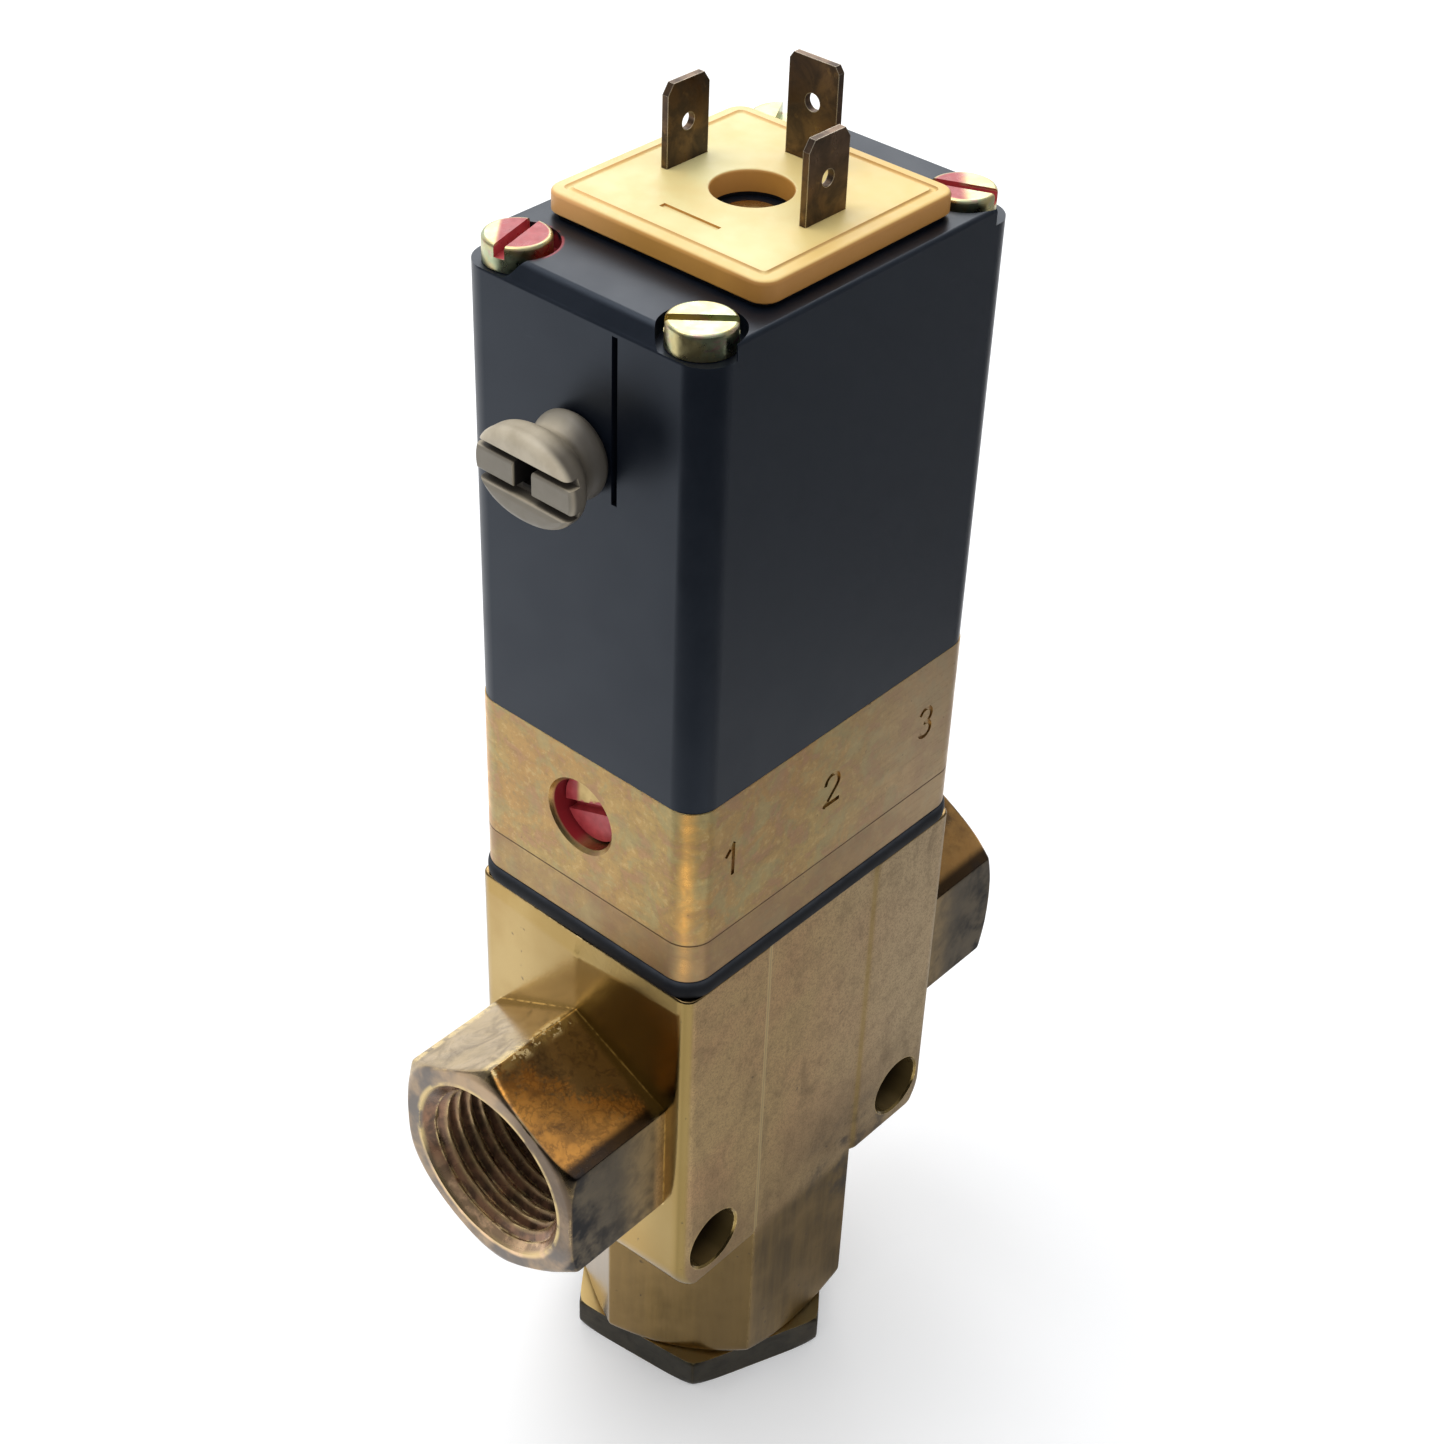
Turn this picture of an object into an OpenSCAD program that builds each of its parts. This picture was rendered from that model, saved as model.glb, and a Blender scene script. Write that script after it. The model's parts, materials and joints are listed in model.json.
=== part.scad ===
// Servo-assisted 3/2-way solenoid valve: forged brass body with three threaded ports, a rocker
// pilot in a moulded coil housing, a quarter-turn override knob and a three-blade terminal plate.
// Millimetres. +Z is up. The origin is on the spindle axis at the foot of the lower fitting.
// The supply port points to -X, the outlet port to +X, and the exhaust port down.

/* [Stack] */
// Length of the block outline, shared by body, cover, pilot and coil, along X
stack_len = 47; // [44:0.5:60]
// Width of the block outline along Y
stack_wid = 33; // [32:0.5:42]
// Radius of the upright edges of cover plate and pilot block
stack_corner = 3.4; // [1:0.1:4]

/* [Body] */
// Height of the body block
body_h = 49; // [46:0.5:60]
// How far the sides of the body lie inside the block outline
body_step = 0; // [0:0.1:1]
// Radius of the upright edges of the body
body_corner = 2; // [1:0.1:4]
// How far the parting ridge stands out of each end face
ridge_out = 0.9; // [0.2:0.1:1.5]
// Width of the flat strip down the middle of the front and of the back
pad_wid = 18; // [14:0.5:22]
// Width of the slope beside the strip
pad_slope = 0.9; // [0.4:0.1:2]
// How far the strip stands out of the body's sides, below zero where it is set back
pad_out = -0.4; // [-0.8:0.1:0.6]
// Rounding of the lower ends of the ears
ear_r = 4.5; // [1:0.5:6]

/* [Neck and lower fitting] */
// Height of the hexagon neck below the body block
neck_h = 25.5; // [22:0.5:34]
// Height of the chamfer at the foot of the neck
neck_chamfer = 2; // [0.5:0.1:4]
// Width across flats of the lower fitting
fitting_af = 32; // [30:0.5:36]
// Height of the hexagon of the lower fitting
fitting_h = 4.5; // [3:0.5:8]
// Angle at which the screwed-in fitting came to rest
fitting_turn = 38; // [0:1:60]
// Radius of the fitting's threaded shank
shank_r = 12.5; // [12:0.1:13]
// Length of the fitting's threaded shank
shank_len = 15.5; // [12:0.5:20]
// Radius of the fitting's nose, which carries the lower seat
nose_r = 10; // [9:0.1:10.4]

/* [Ports] */
// Radius of the port thread at its crests, half inch pipe thread
thread_r = 10.48; // [9:0.01:10.8]
// Width across flats of the side ports
port_af = 27; // [25:0.5:30]
// How far a side port stands out of the parting ridge
port_out = 14.6; // [10:0.2:20]
// Depth of a side port's bore
port_depth = 20; // [14:0.5:21]
// Depth of the lower port's bore
low_port_depth = 14; // [10:0.5:16]
// Distance of the side ports' axis below the top of the body
port_drop = 26.2; // [25:0.2:28]
// Width of the chamfer at a port's mouth
mouth_chamfer = 0.9; // [0.3:0.1:1.5]
// Width of the flat ring on a port's end face
port_rim = 2.3; // [1:0.1:2.6]

/* [Mounting holes] */
// Radius of the two cross holes
hole_r = 4; // [2:0.1:4.5]
// Distance of a cross hole from the end of the body
hole_inset = 5.9; // [5:0.1:7]
// Height of the cross holes above the foot of the body block
hole_up = 6.2; // [5:0.1:8]

/* [Main valve] */
// Radius of the bore through each seat
seat_r = 6; // [5:0.1:6.5]
// Width of a seat's rim
rim_wid = 1.2; // [0.8:0.1:1.6]
// Height of a seat's rim
rim_h = 1; // [0.6:0.1:1.5]
// Travel of the spindle from the upper seat to the lower seat
travel = 4; // [2.5:0.1:5]
// Radius of the valve disc
disc_r = 8.5; // [8:0.1:9.5]
// Thickness of the valve disc
disc_h = 5; // [4:0.2:6]
// Radius of the spindle
spindle_r = 2.5; // [2.2:0.1:3]
// Radius of the cylinder that the servo piston runs in
cylinder_r = 13.2; // [12.8:0.1:13.6]
// Thickness of the servo piston
piston_h = 3.5; // [3:0.1:4]
// Thickness of the guide bush under the piston
bush_h = 4; // [3:0.2:5]
// Height of the supply chamber over the upper seat
supply_h = 7; // [6:0.5:8]
// Thickness of the web that carries the upper seat
web_h = 3; // [2:0.2:4]
// Wire diameter of the return spring
return_wire = 0.8; // [0.5:0.1:1]
// Number of curls of the return spring
return_curls = 8; // [5:1:10]

/* [Cover and pilot block] */
// Thickness of the seal between body and cover plate
gasket_h = 2.3; // [1:0.1:3]
// How far the seal's edge stands out all round
gasket_proud = 0.3; // [0:0.1:0.6]
// Thickness of the cover plate
cover_h = 5.4; // [5:0.2:8]
// Height of the pilot block
pilot_h = 18.4; // [18:0.2:24]
// Distance of the seat screw's axis below the top of the pilot block
seat_screw_drop = 8.6; // [8:0.1:9]
// Radius of the seat screw's head
seat_head_r = 4.1; // [3.8:0.1:4.6]
// Depth of the seat screw's head below the end face
seat_screw_sunk = 2; // [0.5:0.1:2.4]
// Turn of the slot in the seat screw's head, in degrees
seat_slot_turn = -20; // [-90:5:90]
// Height of the engraved numerals
numeral_h = 4; // [2:0.5:5]
// Width of an engraved stroke
stroke_wid = 0.5; // [0.3:0.05:0.8]
// Depth of an engraved stroke
stroke_deep = 0.25; // [0.1:0.05:0.5]

/* [Coil housing] */
// Height of the coil housing's straight sides
coil_h = 52.2; // [51:0.1:62]
// How far the coil housing lies inside the block outline
coil_inset = 0.05; // [0:0.05:0.5]
// Radius of the coil housing's upright edges
coil_corner = 3.5; // [2:0.1:4]
// Height of the housing's top over the pockets of the screw heads
boss_h = 1.9; // [0.5:0.1:2.5]
// Width of the slope between the top and the supply side
boss_slope = 1.4; // [0.5:0.1:2.5]
// Cut of the top's other three edges
boss_edge = 0.3; // [0.1:0.1:1]
// Radius of the pockets round the screw heads
pocket_r = 4.3; // [3.8:0.1:4.6]
// Thickness of the housing's top over the coil
top_wall = 6; // [5:0.5:8]
// Thickness of the housing's side walls
side_wall = 2.9; // [2.5:0.1:3.2]
// Width of the slit beside the override knob
slit_wid = 0.7; // [0.3:0.1:1]
// Distance of the slit from the middle
slit_y = 4.8; // [4.7:0.1:6]

/* [Rocker and magnet] */
// Distance of the rocker's plane from the spindle axis, towards the supply port
rocker_back = 7; // [6:0.2:7.6]
// Largest tilt of the rocker in degrees
rocker_tilt = 3; // [1.5:0.5:3]
// Thickness of the armature plate
armature_thick = 3; // [2:0.2:3.4]
// Width of the armature plate
armature_wid = 11.2; // [10:0.2:11.6]
// Thickness of the rocker's flapper arm
arm_thick = 2; // [1.6:0.1:2.4]
// Width of the rocker's flapper arm
arm_wid = 5; // [4.6:0.2:6]
// Radius of the pivot pin
pin_r = 1.5; // [1:0.1:1.8]
// Radius of the magnet core
core_r = 5; // [4:0.1:5.4]
// Distance of the magnet core from the spindle axis, towards the outlet port
core_x = 8; // [7.6:0.1:8.4]
// Radius of the bobbin's flanges
bobbin_r = 10.4; // [9:0.1:10.6]

/* [Override knob] */
// Distance of the knob's axis below the housing's straight top edge
knob_drop = 14.7; // [13:0.1:15]
// Radius of the knob's shaft
knob_shaft_r = 3.5; // [3:0.1:3.6]
// Radius of the knob's round foot
knob_foot_r = 4.7; // [4.2:0.1:5]
// Length of the knob's grip along Y
grip_len = 13.2; // [10:0.2:15]
// Height of the knob's grip
grip_h = 9.8; // [7:0.2:10]
// Depth of the knob's grip along X
grip_deep = 4.2; // [3:0.2:6]
// How far the knob stands out of the housing
knob_out = 8; // [6:0.2:11]
// Width of the slot in the knob
knob_slot = 4; // [1:0.1:4]

/* [Tie screws] */
// Radius of a tie screw's thread
tie_r = 2; // [1.5:0.1:2.2]
// Radius of a tie screw's head
tie_head_r = 3.5; // [3:0.1:3.6]
// Height of a tie screw's head
tie_head_h = 2.8; // [2:0.1:3]
// Width of a tie screw's slot
tie_slot = 1.2; // [0.8:0.1:1.6]
// Distance of the tie screws from the ends of the block outline
tie_inset_x = 4; // [4:0.1:4.4]
// Distance of the tie screws from the sides of the block outline
tie_inset_y = 4.5; // [4.2:0.1:4.8]
// Length of thread in the body
tie_grip = 15; // [8:0.5:16]

/* [Terminal plate] */
// Side of the square terminal plate
plate_side = 29; // [26:0.5:29]
// Distance of the plate's middle from the spindle axis along X
plate_x = 0.9; // [0:0.1:1.5]
// Thickness of the terminal plate
plate_h = 2.4; // [2:0.1:4]
// Radius of the plate's corners
plate_corner = 2; // [0.5:0.1:4]
// Thickness of the seal under the plate
seal_h = 0.4; // [0.3:0.1:1.5]
// Radius of the hole in the middle of the plate
plate_hole_r = 4.2; // [3.5:0.1:5]
// Thickness of the blades
blade_thick = 0.8; // [0.5:0.1:1]
// Distance of the blades from the middle of the plate
blade_out = 9; // [7:0.1:10]
// Width of the contact blades
contact_wid = 6; // [4:0.1:6.3]
// Height of the contact blades above the plate
contact_h = 8.7; // [6:0.1:12]
// Width of the earth blade
earth_wid = 6.3; // [5:0.1:7]
// Height of the earth blade above the plate
earth_h = 10.7; // [8:0.1:14]
// Distance of the blades' holes from their tops
blade_hole_drop = 4.5; // [2.5:0.1:6]

/* [Fits] */
// Radial clearance of a sliding or turning fit
run_gap = 0.05; // [0.02:0.01:0.08]
// Radial clearance of a fixed fit
slip_gap = 0.02; // [0.01:0.01:0.04]
// Distance kept between parts that move past each other
free_gap = 0.3; // [0.3:0.05:0.4]

/* [Hidden] */
$fn = 72;
eps = 0.5;

// Levels of the stack, from the foot up
z_neck = fitting_h;
z_ear = z_neck + neck_h;
z_top = z_ear + body_h;
z_cover = z_top + gasket_h;
z_pilot = z_cover + cover_h;
z_coil = z_pilot + pilot_h;
z_boss = z_coil + coil_h;
z_seal = z_boss + boss_h;
z_plate = z_seal + seal_h;
z_face = z_plate + plate_h;

// Outlines
half_len = stack_len / 2;
half_wid = stack_wid / 2;
body_half = half_wid - body_step;
pad_half = body_half + pad_out;
neck_af = 2 * pad_half;
ridge_x = half_len + ridge_out;
port_x = ridge_x + port_out;
port_z = z_top - port_drop;
hole_x = half_len - hole_inset;
hole_z = z_ear + hole_up;
tie_x = half_len - tie_inset_x;
tie_y = half_wid - tie_inset_y;
coil_half_len = half_len - coil_inset;
coil_half_wid = half_wid - coil_inset;

// Levels of the main valve, from the piston down
piston_top = z_top - 0.2;
piston_foot = piston_top - piston_h;
bush_clip_h = 1;
bush_clip_top = piston_foot - travel - free_gap;
bush_top = bush_clip_top - bush_clip_h;
bush_foot = bush_top - bush_h;
web_top = bush_foot - supply_h;
web_foot = web_top - web_h;
upper_seat = web_foot - rim_h;
seat_gap = 0.05;
disc_top = upper_seat - seat_gap;
disc_foot = disc_top - disc_h;
lower_seat = disc_foot - travel - seat_gap;
nose_top = lower_seat - rim_h;
shank_top = z_neck + shank_len;
chamber_r = disc_r + 2.5;
supply_r = cylinder_r - 0.7;
bush_groove_r = cylinder_r + 0.8;
supply_pass_r = 3.6;
supply_pass_z = web_top + supply_pass_r - 0.8;
outlet_pass_z = (nose_top + web_foot) / 2;
outlet_pass_r = (web_foot - nose_top) / 2 - 0.3;
duct_r = 1;
o_ring_h = 1.5;
face_ring_r = 14.2;

// Lower fitting
seat_ring_r = 7;
seat_ring_h = 2.4;
seat_ring_foot = low_port_depth + 2.6;
seat_ring_top = seat_ring_foot + seat_ring_h;
clip_h = 1;
clip_groove_r = seat_ring_r + 0.6;
nose_groove_z = nose_top - 6;
nose_groove_h = 2.4;
nose_groove_r = nose_r - 1.6;
spring_mean_r = 4.9;
end_r = spindle_r - 0.5;
nut_af = 7;
nut_h = 2.6;
seal_in_r = seat_r - 0.4;
seal_out_r = seat_r + rim_wid + 0.7;
seal_deep = 1.2;

// Pilot
rocker_x = -rocker_back;
nozzle_z = z_coil - seat_screw_drop;
pivot_z = z_coil + 4.5;
boss_r = pin_r + 1.5;
arm_foot = nozzle_z - 4;
pad_r = 2;
pad_proud = 0.2;
pad_deep = 0.6;
nozzle_gap = 0.2;
nozzle_r = 1.6;
nozzle_body_r = 3;
jet_r = 0.7;
pilot_room_r = 8;
pilot_room_foot = z_pilot + 3.3;
duct_x = rocker_x - pilot_room_r - duct_r - 0.5;
diaphragm_r = 10;
diaphragm_h = 1.2;
arm_swing = (pivot_z - nozzle_z) * sin(rocker_tilt);
supply_tip_x = rocker_x - arm_thick / 2 - pad_proud - arm_swing - nozzle_gap;
exhaust_tip_x = rocker_x + arm_thick / 2 + pad_proud + nozzle_gap;
exhaust_end_x = 5;
seat_head_x = -half_len + seat_screw_sunk;
seat_ring_x = duct_x - duct_r - o_ring_h - 0.4;
outlet_duct_x = rocker_x + 4;
outlet_duct_r = 1.2;
ring_seat_deep = 1.1;
clamp_h = 1.5;

// Magnet
knob_z = z_boss - knob_drop;
cam_r = 4.6;
cam_slope = 0.5;
armature_top = knob_z - cam_r - 0.5;
armature_face_x = rocker_x + armature_thick / 2;
armature_back_x = rocker_x - armature_thick / 2;
pole_top = armature_top - 0.2;
pole_h = 4;
pole_foot = pole_top - pole_h;
pole_x = armature_face_x + (pole_top - pivot_z) * sin(rocker_tilt) + 0.35;
yoke_foot = z_coil + clamp_h;
yoke_h = 3;
yoke_top = pivot_z + boss_r + 0.6;
cheek_y = armature_wid / 2 + 0.4;
cheek_thick = 2;
yoke_end_x = core_x + 5;
spigot_r = 3;
bobbin_foot = yoke_top + 0.1;
bobbin_top = pole_foot - 0.1;
bobbin_wall = 1.2;
flange_h = 1.6;
spring_bore_r = 1.9;
rocker_wire = 0.45;
rocker_curls = 6;
rocker_spring_r = 1.4;
spring_x = pole_x + 5.4;
spring_z = (pole_foot + pole_top) / 2;

// Coil room inside the housing
room_top = z_boss - top_wall;
room_x = coil_half_len - 7.9;
room_y = coil_half_wid - side_wall;
mid_room_y = 8;
mid_room_back = coil_half_len - 6.4;
mid_room_front = core_x + bobbin_r + 0.8;
post_half = 3;

// Override
finger_in = -2.8;
finger_out = -4.3;
finger_top = knob_z + 0.5;
cam_x = armature_back_x - free_gap - cam_slope * finger_in;
bush_flange_r = 6.4;
bush_flange_h = 1.4;
bush_body_r = 5.2;
bush_flange_x = -mid_room_back;
bush_out_x = -coil_half_len + 2.5;
cam_back_x = bush_flange_x + bush_flange_h + free_gap;
knob_face_x = -coil_half_len - knob_out;
foot_face_x = -coil_half_len - free_gap;
ring_groove_x = bush_out_x - 1.7;
slit_foot = knob_z - 4.2;
slit_deep = 2.2;

// Terminal plate
insert_r = 3;
insert_h = 6;
screw_hole_r = 1.25;
blade_root = z_seal - 4.5;
mark_len = 7.4;
mark_wid = 0.8;
mark_x = -9;
rim_inset = 1.4;
groove_wid = 0.5;
groove_deep = 0.3;

// A rectangle with rounded corners
module round_rect(l, w, r) {
    square([l - 2 * r, w], center = true);
    square([l, w - 2 * r], center = true);
    for (sx = [-1, 1], sy = [-1, 1])
        translate([sx * (l / 2 - r), sy * (w / 2 - r)]) circle(r);
}

// A flat ring standing on z
module ring(r_out, r_in, z, h) {
    translate([0, 0, z]) difference() {
        cylinder(r = r_out, h = h);
        translate([0, 0, -eps]) cylinder(r = r_in, h = h + 2 * eps);
    }
}

// A round bar along Z between two levels
module bar_z(r, z0, z1) {
    translate([0, 0, z0]) cylinder(r = r, h = z1 - z0);
}

// A round bar along X between two places, at height z
module bar_x(r, x0, x1, z) {
    translate([x0, 0, z]) rotate([0, 90, 0]) cylinder(r = r, h = x1 - x0);
}

// A round bar along Y between two places
module bar_y(r, x, y0, y1, z) {
    translate([x, y0, z]) rotate([-90, 0, 0]) cylinder(r = r, h = y1 - y0);
}

// A box between two corners
module box(a, b) {
    translate(a) cube(b - a);
}

// A hexagon bar with a corner along +X
module hex_bar(af, z, h) {
    translate([0, 0, z]) cylinder(r = af / sqrt(3), h = h, $fn = 6);
}

// An O-ring squeezed to a rounded band between two radii
module o_ring(r_in, r_out, z, h) {
    translate([0, 0, z]) rotate_extrude() translate([(r_in + r_out) / 2, h / 2])
        round_rect(r_out - r_in, h, min(r_out - r_in, h) / 2 - 0.05);
}

// One copy for each tie screw
module at_ties() {
    for (sx = [-1, 1], sy = [-1, 1]) translate([sx * tie_x, sy * tie_y, 0]) children();
}

// Clearance holes for the tie screws
module tie_holes(z0, z1) {
    at_ties() bar_z(tie_r + 0.2, z0 - eps, z1 + eps);
}

// Points of a coil spring along Z, ring by ring, six to a ring
function coil_points(r, wire, curls, length) = [
    for (i = [0 : 8 * curls]) let (a = 45 * i, z = wire / 2 + (length - wire) * i / (8 * curls))
        for (j = [0 : 5]) let (b = 60 * j, out = r + wire / 2 * cos(b))
            [out * cos(a), out * sin(a), z + wire / 2 * sin(b)]
];

// Faces of a tube with six points to a ring
function tube_faces(rings) = concat(
    [for (j = [1 : 4]) [0, j + 1, j]],
    [for (i = [0 : rings - 2], j = [0 : 5]) [6 * i + j, 6 * i + (j + 1) % 6, 6 * i + 6 + j]],
    [for (i = [0 : rings - 2], j = [0 : 5])
        [6 * i + (j + 1) % 6, 6 * i + 6 + (j + 1) % 6, 6 * i + 6 + j]],
    [for (j = [1 : 4]) [6 * rings - 6, 6 * rings - 6 + j, 6 * rings - 6 + j + 1]]
);

// A coil spring standing on z = 0
module coil_spring(r, wire, curls, length) {
    echo(least_gap = (length - wire) / curls - wire);
    polyhedron(coil_points(r, wire, curls, length), tube_faces(8 * curls + 1));
}

// Outline of the forged block seen from above, with its parting ridge and the strips down its middle
module body_outline() {
    edge_y = body_half - body_corner;
    slope_x = pad_wid / 2 + pad_slope;
    difference() {
        union() {
            round_rect(stack_len, 2 * body_half, body_corner);
            polygon([[ridge_x, 0], [half_len, edge_y], [-half_len, edge_y],
                [-ridge_x, 0], [-half_len, -edge_y], [half_len, -edge_y]]);
        }
        square([2 * slope_x, 2 * body_half + 1], center = true);
    }
    polygon([[slope_x, body_half], [pad_wid / 2, pad_half], [-pad_wid / 2, pad_half],
        [-slope_x, body_half], [-slope_x, -body_half], [-pad_wid / 2, -pad_half],
        [pad_wid / 2, -pad_half], [slope_x, -body_half]]);
}

// Outline of the block seen from the front, with its rounded ears
module ear_outline() {
    translate([-ridge_x, z_ear + ear_r]) square([2 * ridge_x, body_h - ear_r]);
    translate([-ridge_x + ear_r, z_ear]) square([2 * (ridge_x - ear_r), ear_r + eps]);
    for (s = [-1, 1]) translate([s * (ridge_x - ear_r), z_ear + ear_r]) circle(ear_r);
}

// A cone that trims the end of a hexagon bar: radius r at z = 0, opening upwards
module trim(r, reach, slope, h) {
    cylinder(r1 = r, r2 = r + reach, h = reach * slope);
    translate([0, 0, reach * slope - 0.01]) cylinder(r = r + reach, h = h);
}

module neck_blank() {
    corner = neck_af / sqrt(3) - neck_af / 2;
    intersection() {
        hex_bar(neck_af, z_neck, neck_h + ear_r + eps);
        translate([0, 0, z_neck])
            trim(neck_af / 2 - 0.4, corner + 0.6, neck_chamfer / corner, neck_h + ear_r + 1);
    }
}

// A side port towards +X
module port_blank() {
    root_x = half_len - 6;
    rim_r = thread_r + mouth_chamfer + port_rim;
    intersection() {
        translate([root_x, 0, port_z]) rotate([0, 90, 0]) hex_bar(port_af, 0, port_x - root_x);
        translate([port_x, 0, port_z]) rotate([0, -90, 0]) trim(rim_r, 3, 0.577, port_x - root_x);
    }
}

// A threaded port's bore with a chamfered mouth at z = 0, running up
module port_bore(depth) {
    translate([0, 0, -eps]) cylinder(r = thread_r, h = depth + eps);
    translate([0, 0, -0.01]) cylinder(r1 = thread_r + mouth_chamfer, r2 = thread_r, h = mouth_chamfer);
}

// The stepped bore on the spindle axis
module main_bore() {
    shank_bore = shank_r + slip_gap;
    nose_bore = nose_r + slip_gap;
    rotate_extrude() polygon([[0, z_neck - eps], [face_ring_r, z_neck - eps],
        [face_ring_r, z_neck + o_ring_h], [shank_bore, z_neck + o_ring_h], [shank_bore, shank_top],
        [nose_bore, shank_top], [nose_bore, nose_top], [chamber_r, nose_top], [chamber_r, web_foot],
        [seat_r + rim_wid, web_foot], [seat_r + rim_wid, upper_seat], [seat_r, upper_seat],
        [seat_r, web_top], [supply_r, web_top], [supply_r, bush_foot], [cylinder_r, bush_foot],
        [cylinder_r, bush_top], [bush_groove_r, bush_top], [bush_groove_r, bush_clip_top],
        [cylinder_r, bush_clip_top], [cylinder_r, z_top + eps], [0, z_top + eps]]);
}

module valve_body() {
    color("#a98a4e") difference() {
        union() {
            intersection() {
                translate([0, 0, z_ear]) linear_extrude(body_h) body_outline();
                translate([0, stack_wid, 0]) rotate([90, 0, 0])
                    linear_extrude(2 * stack_wid) ear_outline();
            }
            neck_blank();
            port_blank();
            mirror([1, 0, 0]) port_blank();
        }
        main_bore();
        for (s = [-1, 1])
            translate([s * port_x, 0, port_z]) rotate([0, -s * 90, 0]) port_bore(port_depth);
        bore_end = port_x - port_depth;
        bar_x(supply_pass_r, -bore_end - eps, -supply_r + 1, supply_pass_z);
        bar_x(outlet_pass_r, chamber_r - 1, bore_end + eps, outlet_pass_z);
        translate([duct_x, 0, 0]) bar_z(duct_r, supply_pass_z, z_top + eps);
        for (s = [-1, 1]) bar_y(hole_r, s * hole_x, -stack_wid, stack_wid, hole_z);
        at_ties() bar_z(tie_r + slip_gap, z_top - tie_grip - 2, z_top + eps);
        bar_y(0.9, 0, cylinder_r - 1, stack_wid, bush_clip_top + 1.6);
    }
}

module port_fitting() {
    color("#6f5d33") difference() {
        union() {
            rotate([0, 0, fitting_turn]) intersection() {
                hex_bar(fitting_af, 0, fitting_h);
                trim(fitting_af / 2 + 2, 1, 0.577, fitting_h);
            }
            bar_z(shank_r, fitting_h - eps, shank_top);
            bar_z(nose_r, shank_top - eps, nose_top);
            ring(seat_r + rim_wid, seat_r - eps, nose_top - eps, rim_h + eps);
        }
        port_bore(low_port_depth);
        bar_z(seat_ring_r + slip_gap, low_port_depth - eps, seat_ring_top);
        bar_z(clip_groove_r, seat_ring_foot - clip_h, seat_ring_foot);
        bar_z(seat_r, seat_ring_top - eps, lower_seat + eps);
        ring(nose_r + 1, nose_groove_r, nose_groove_z, nose_groove_h);
        ring(shank_r + 1, shank_r - 0.8, shank_top - 1, 1 + eps);
    }
}

module fitting_o_ring() {
    color("#1c1d20") o_ring(shank_r + slip_gap, face_ring_r - slip_gap, z_neck, o_ring_h);
}

module nose_o_ring() {
    color("#1c1d20")
        o_ring(nose_groove_r + slip_gap, nose_r, nose_groove_z + 0.1, nose_groove_h - 0.2);
}

module spring_seat() {
    color("#8d8f92") ring(seat_ring_r, spring_mean_r - 0.7, seat_ring_foot, seat_ring_h);
}

// A snap ring with a gap on its +X side
module snap_ring(r_out, r_in, z, h) {
    difference() {
        ring(r_out, r_in, z, h);
        box([0, -1.5, z - eps], [r_out + 1, 1.5, z + h + eps]);
    }
}

module seat_circlip() {
    color("#7d8085")
        snap_ring(clip_groove_r - slip_gap, seat_ring_r - 1.4, seat_ring_foot - clip_h, clip_h);
}

module return_spring() {
    color("#9a9da1") translate([0, 0, seat_ring_top + 0.02])
        coil_spring(spring_mean_r, return_wire, return_curls, disc_foot - seat_ring_top - 0.04);
}

module spindle() {
    color("#b4b6b9") {
        bar_z(spindle_r, disc_top, piston_foot);
        bar_z(end_r, disc_foot - nut_h - 0.6, disc_top + eps);
        bar_z(end_r, piston_foot - eps, piston_top + nut_h + 0.3);
    }
}

module valve_disc() {
    color("#b0904f") difference() {
        bar_z(disc_r, disc_foot, disc_top);
        bar_z(end_r + slip_gap, disc_foot - eps, disc_top + eps);
        ring(seal_out_r, seal_in_r, disc_top - seal_deep, seal_deep + eps);
        ring(seal_out_r, seal_in_r, disc_foot - eps, seal_deep + eps);
    }
}

module disc_seals() {
    color("#1c1d20") for (z = [disc_foot, disc_top - seal_deep])
        ring(seal_out_r - slip_gap, seal_in_r + slip_gap, z, seal_deep);
}

// A plain hexagon nut
module nut(z) {
    difference() {
        hex_bar(nut_af, z, nut_h);
        bar_z(end_r + slip_gap, z - eps, z + nut_h + eps);
    }
}

module disc_nut() {
    color("#b0904f") nut(disc_foot - nut_h);
}

module piston_nut() {
    color("#b0904f") nut(piston_top);
}

module servo_piston() {
    color("#b0904f") difference() {
        bar_z(cylinder_r - 0.08, piston_foot, piston_top);
        bar_z(end_r + slip_gap, piston_foot - eps, piston_top + eps);
        ring(cylinder_r + 1, cylinder_r - 2.1, piston_foot + 0.8, piston_h - 1.6);
    }
}

module piston_seal() {
    color("#1c1d20")
        o_ring(cylinder_r - 2.05, cylinder_r - run_gap, piston_foot + 0.85, piston_h - 1.7);
}

module guide_bush() {
    color("#b0904f") difference() {
        bar_z(cylinder_r - slip_gap, bush_foot, bush_top);
        bar_z(spindle_r + run_gap, bush_foot - eps, bush_top + eps);
        ring(spindle_r + 1.8, spindle_r, bush_foot + bush_h / 2 - 1, 2);
    }
}

module guide_o_ring() {
    color("#1c1d20")
        o_ring(spindle_r + run_gap, spindle_r + 1.8 - slip_gap, bush_foot + bush_h / 2 - 0.95, 1.9);
}

module bush_circlip() {
    color("#7d8085")
        snap_ring(bush_groove_r - slip_gap, cylinder_r - 1.8, bush_top, bush_clip_h);
}

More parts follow.
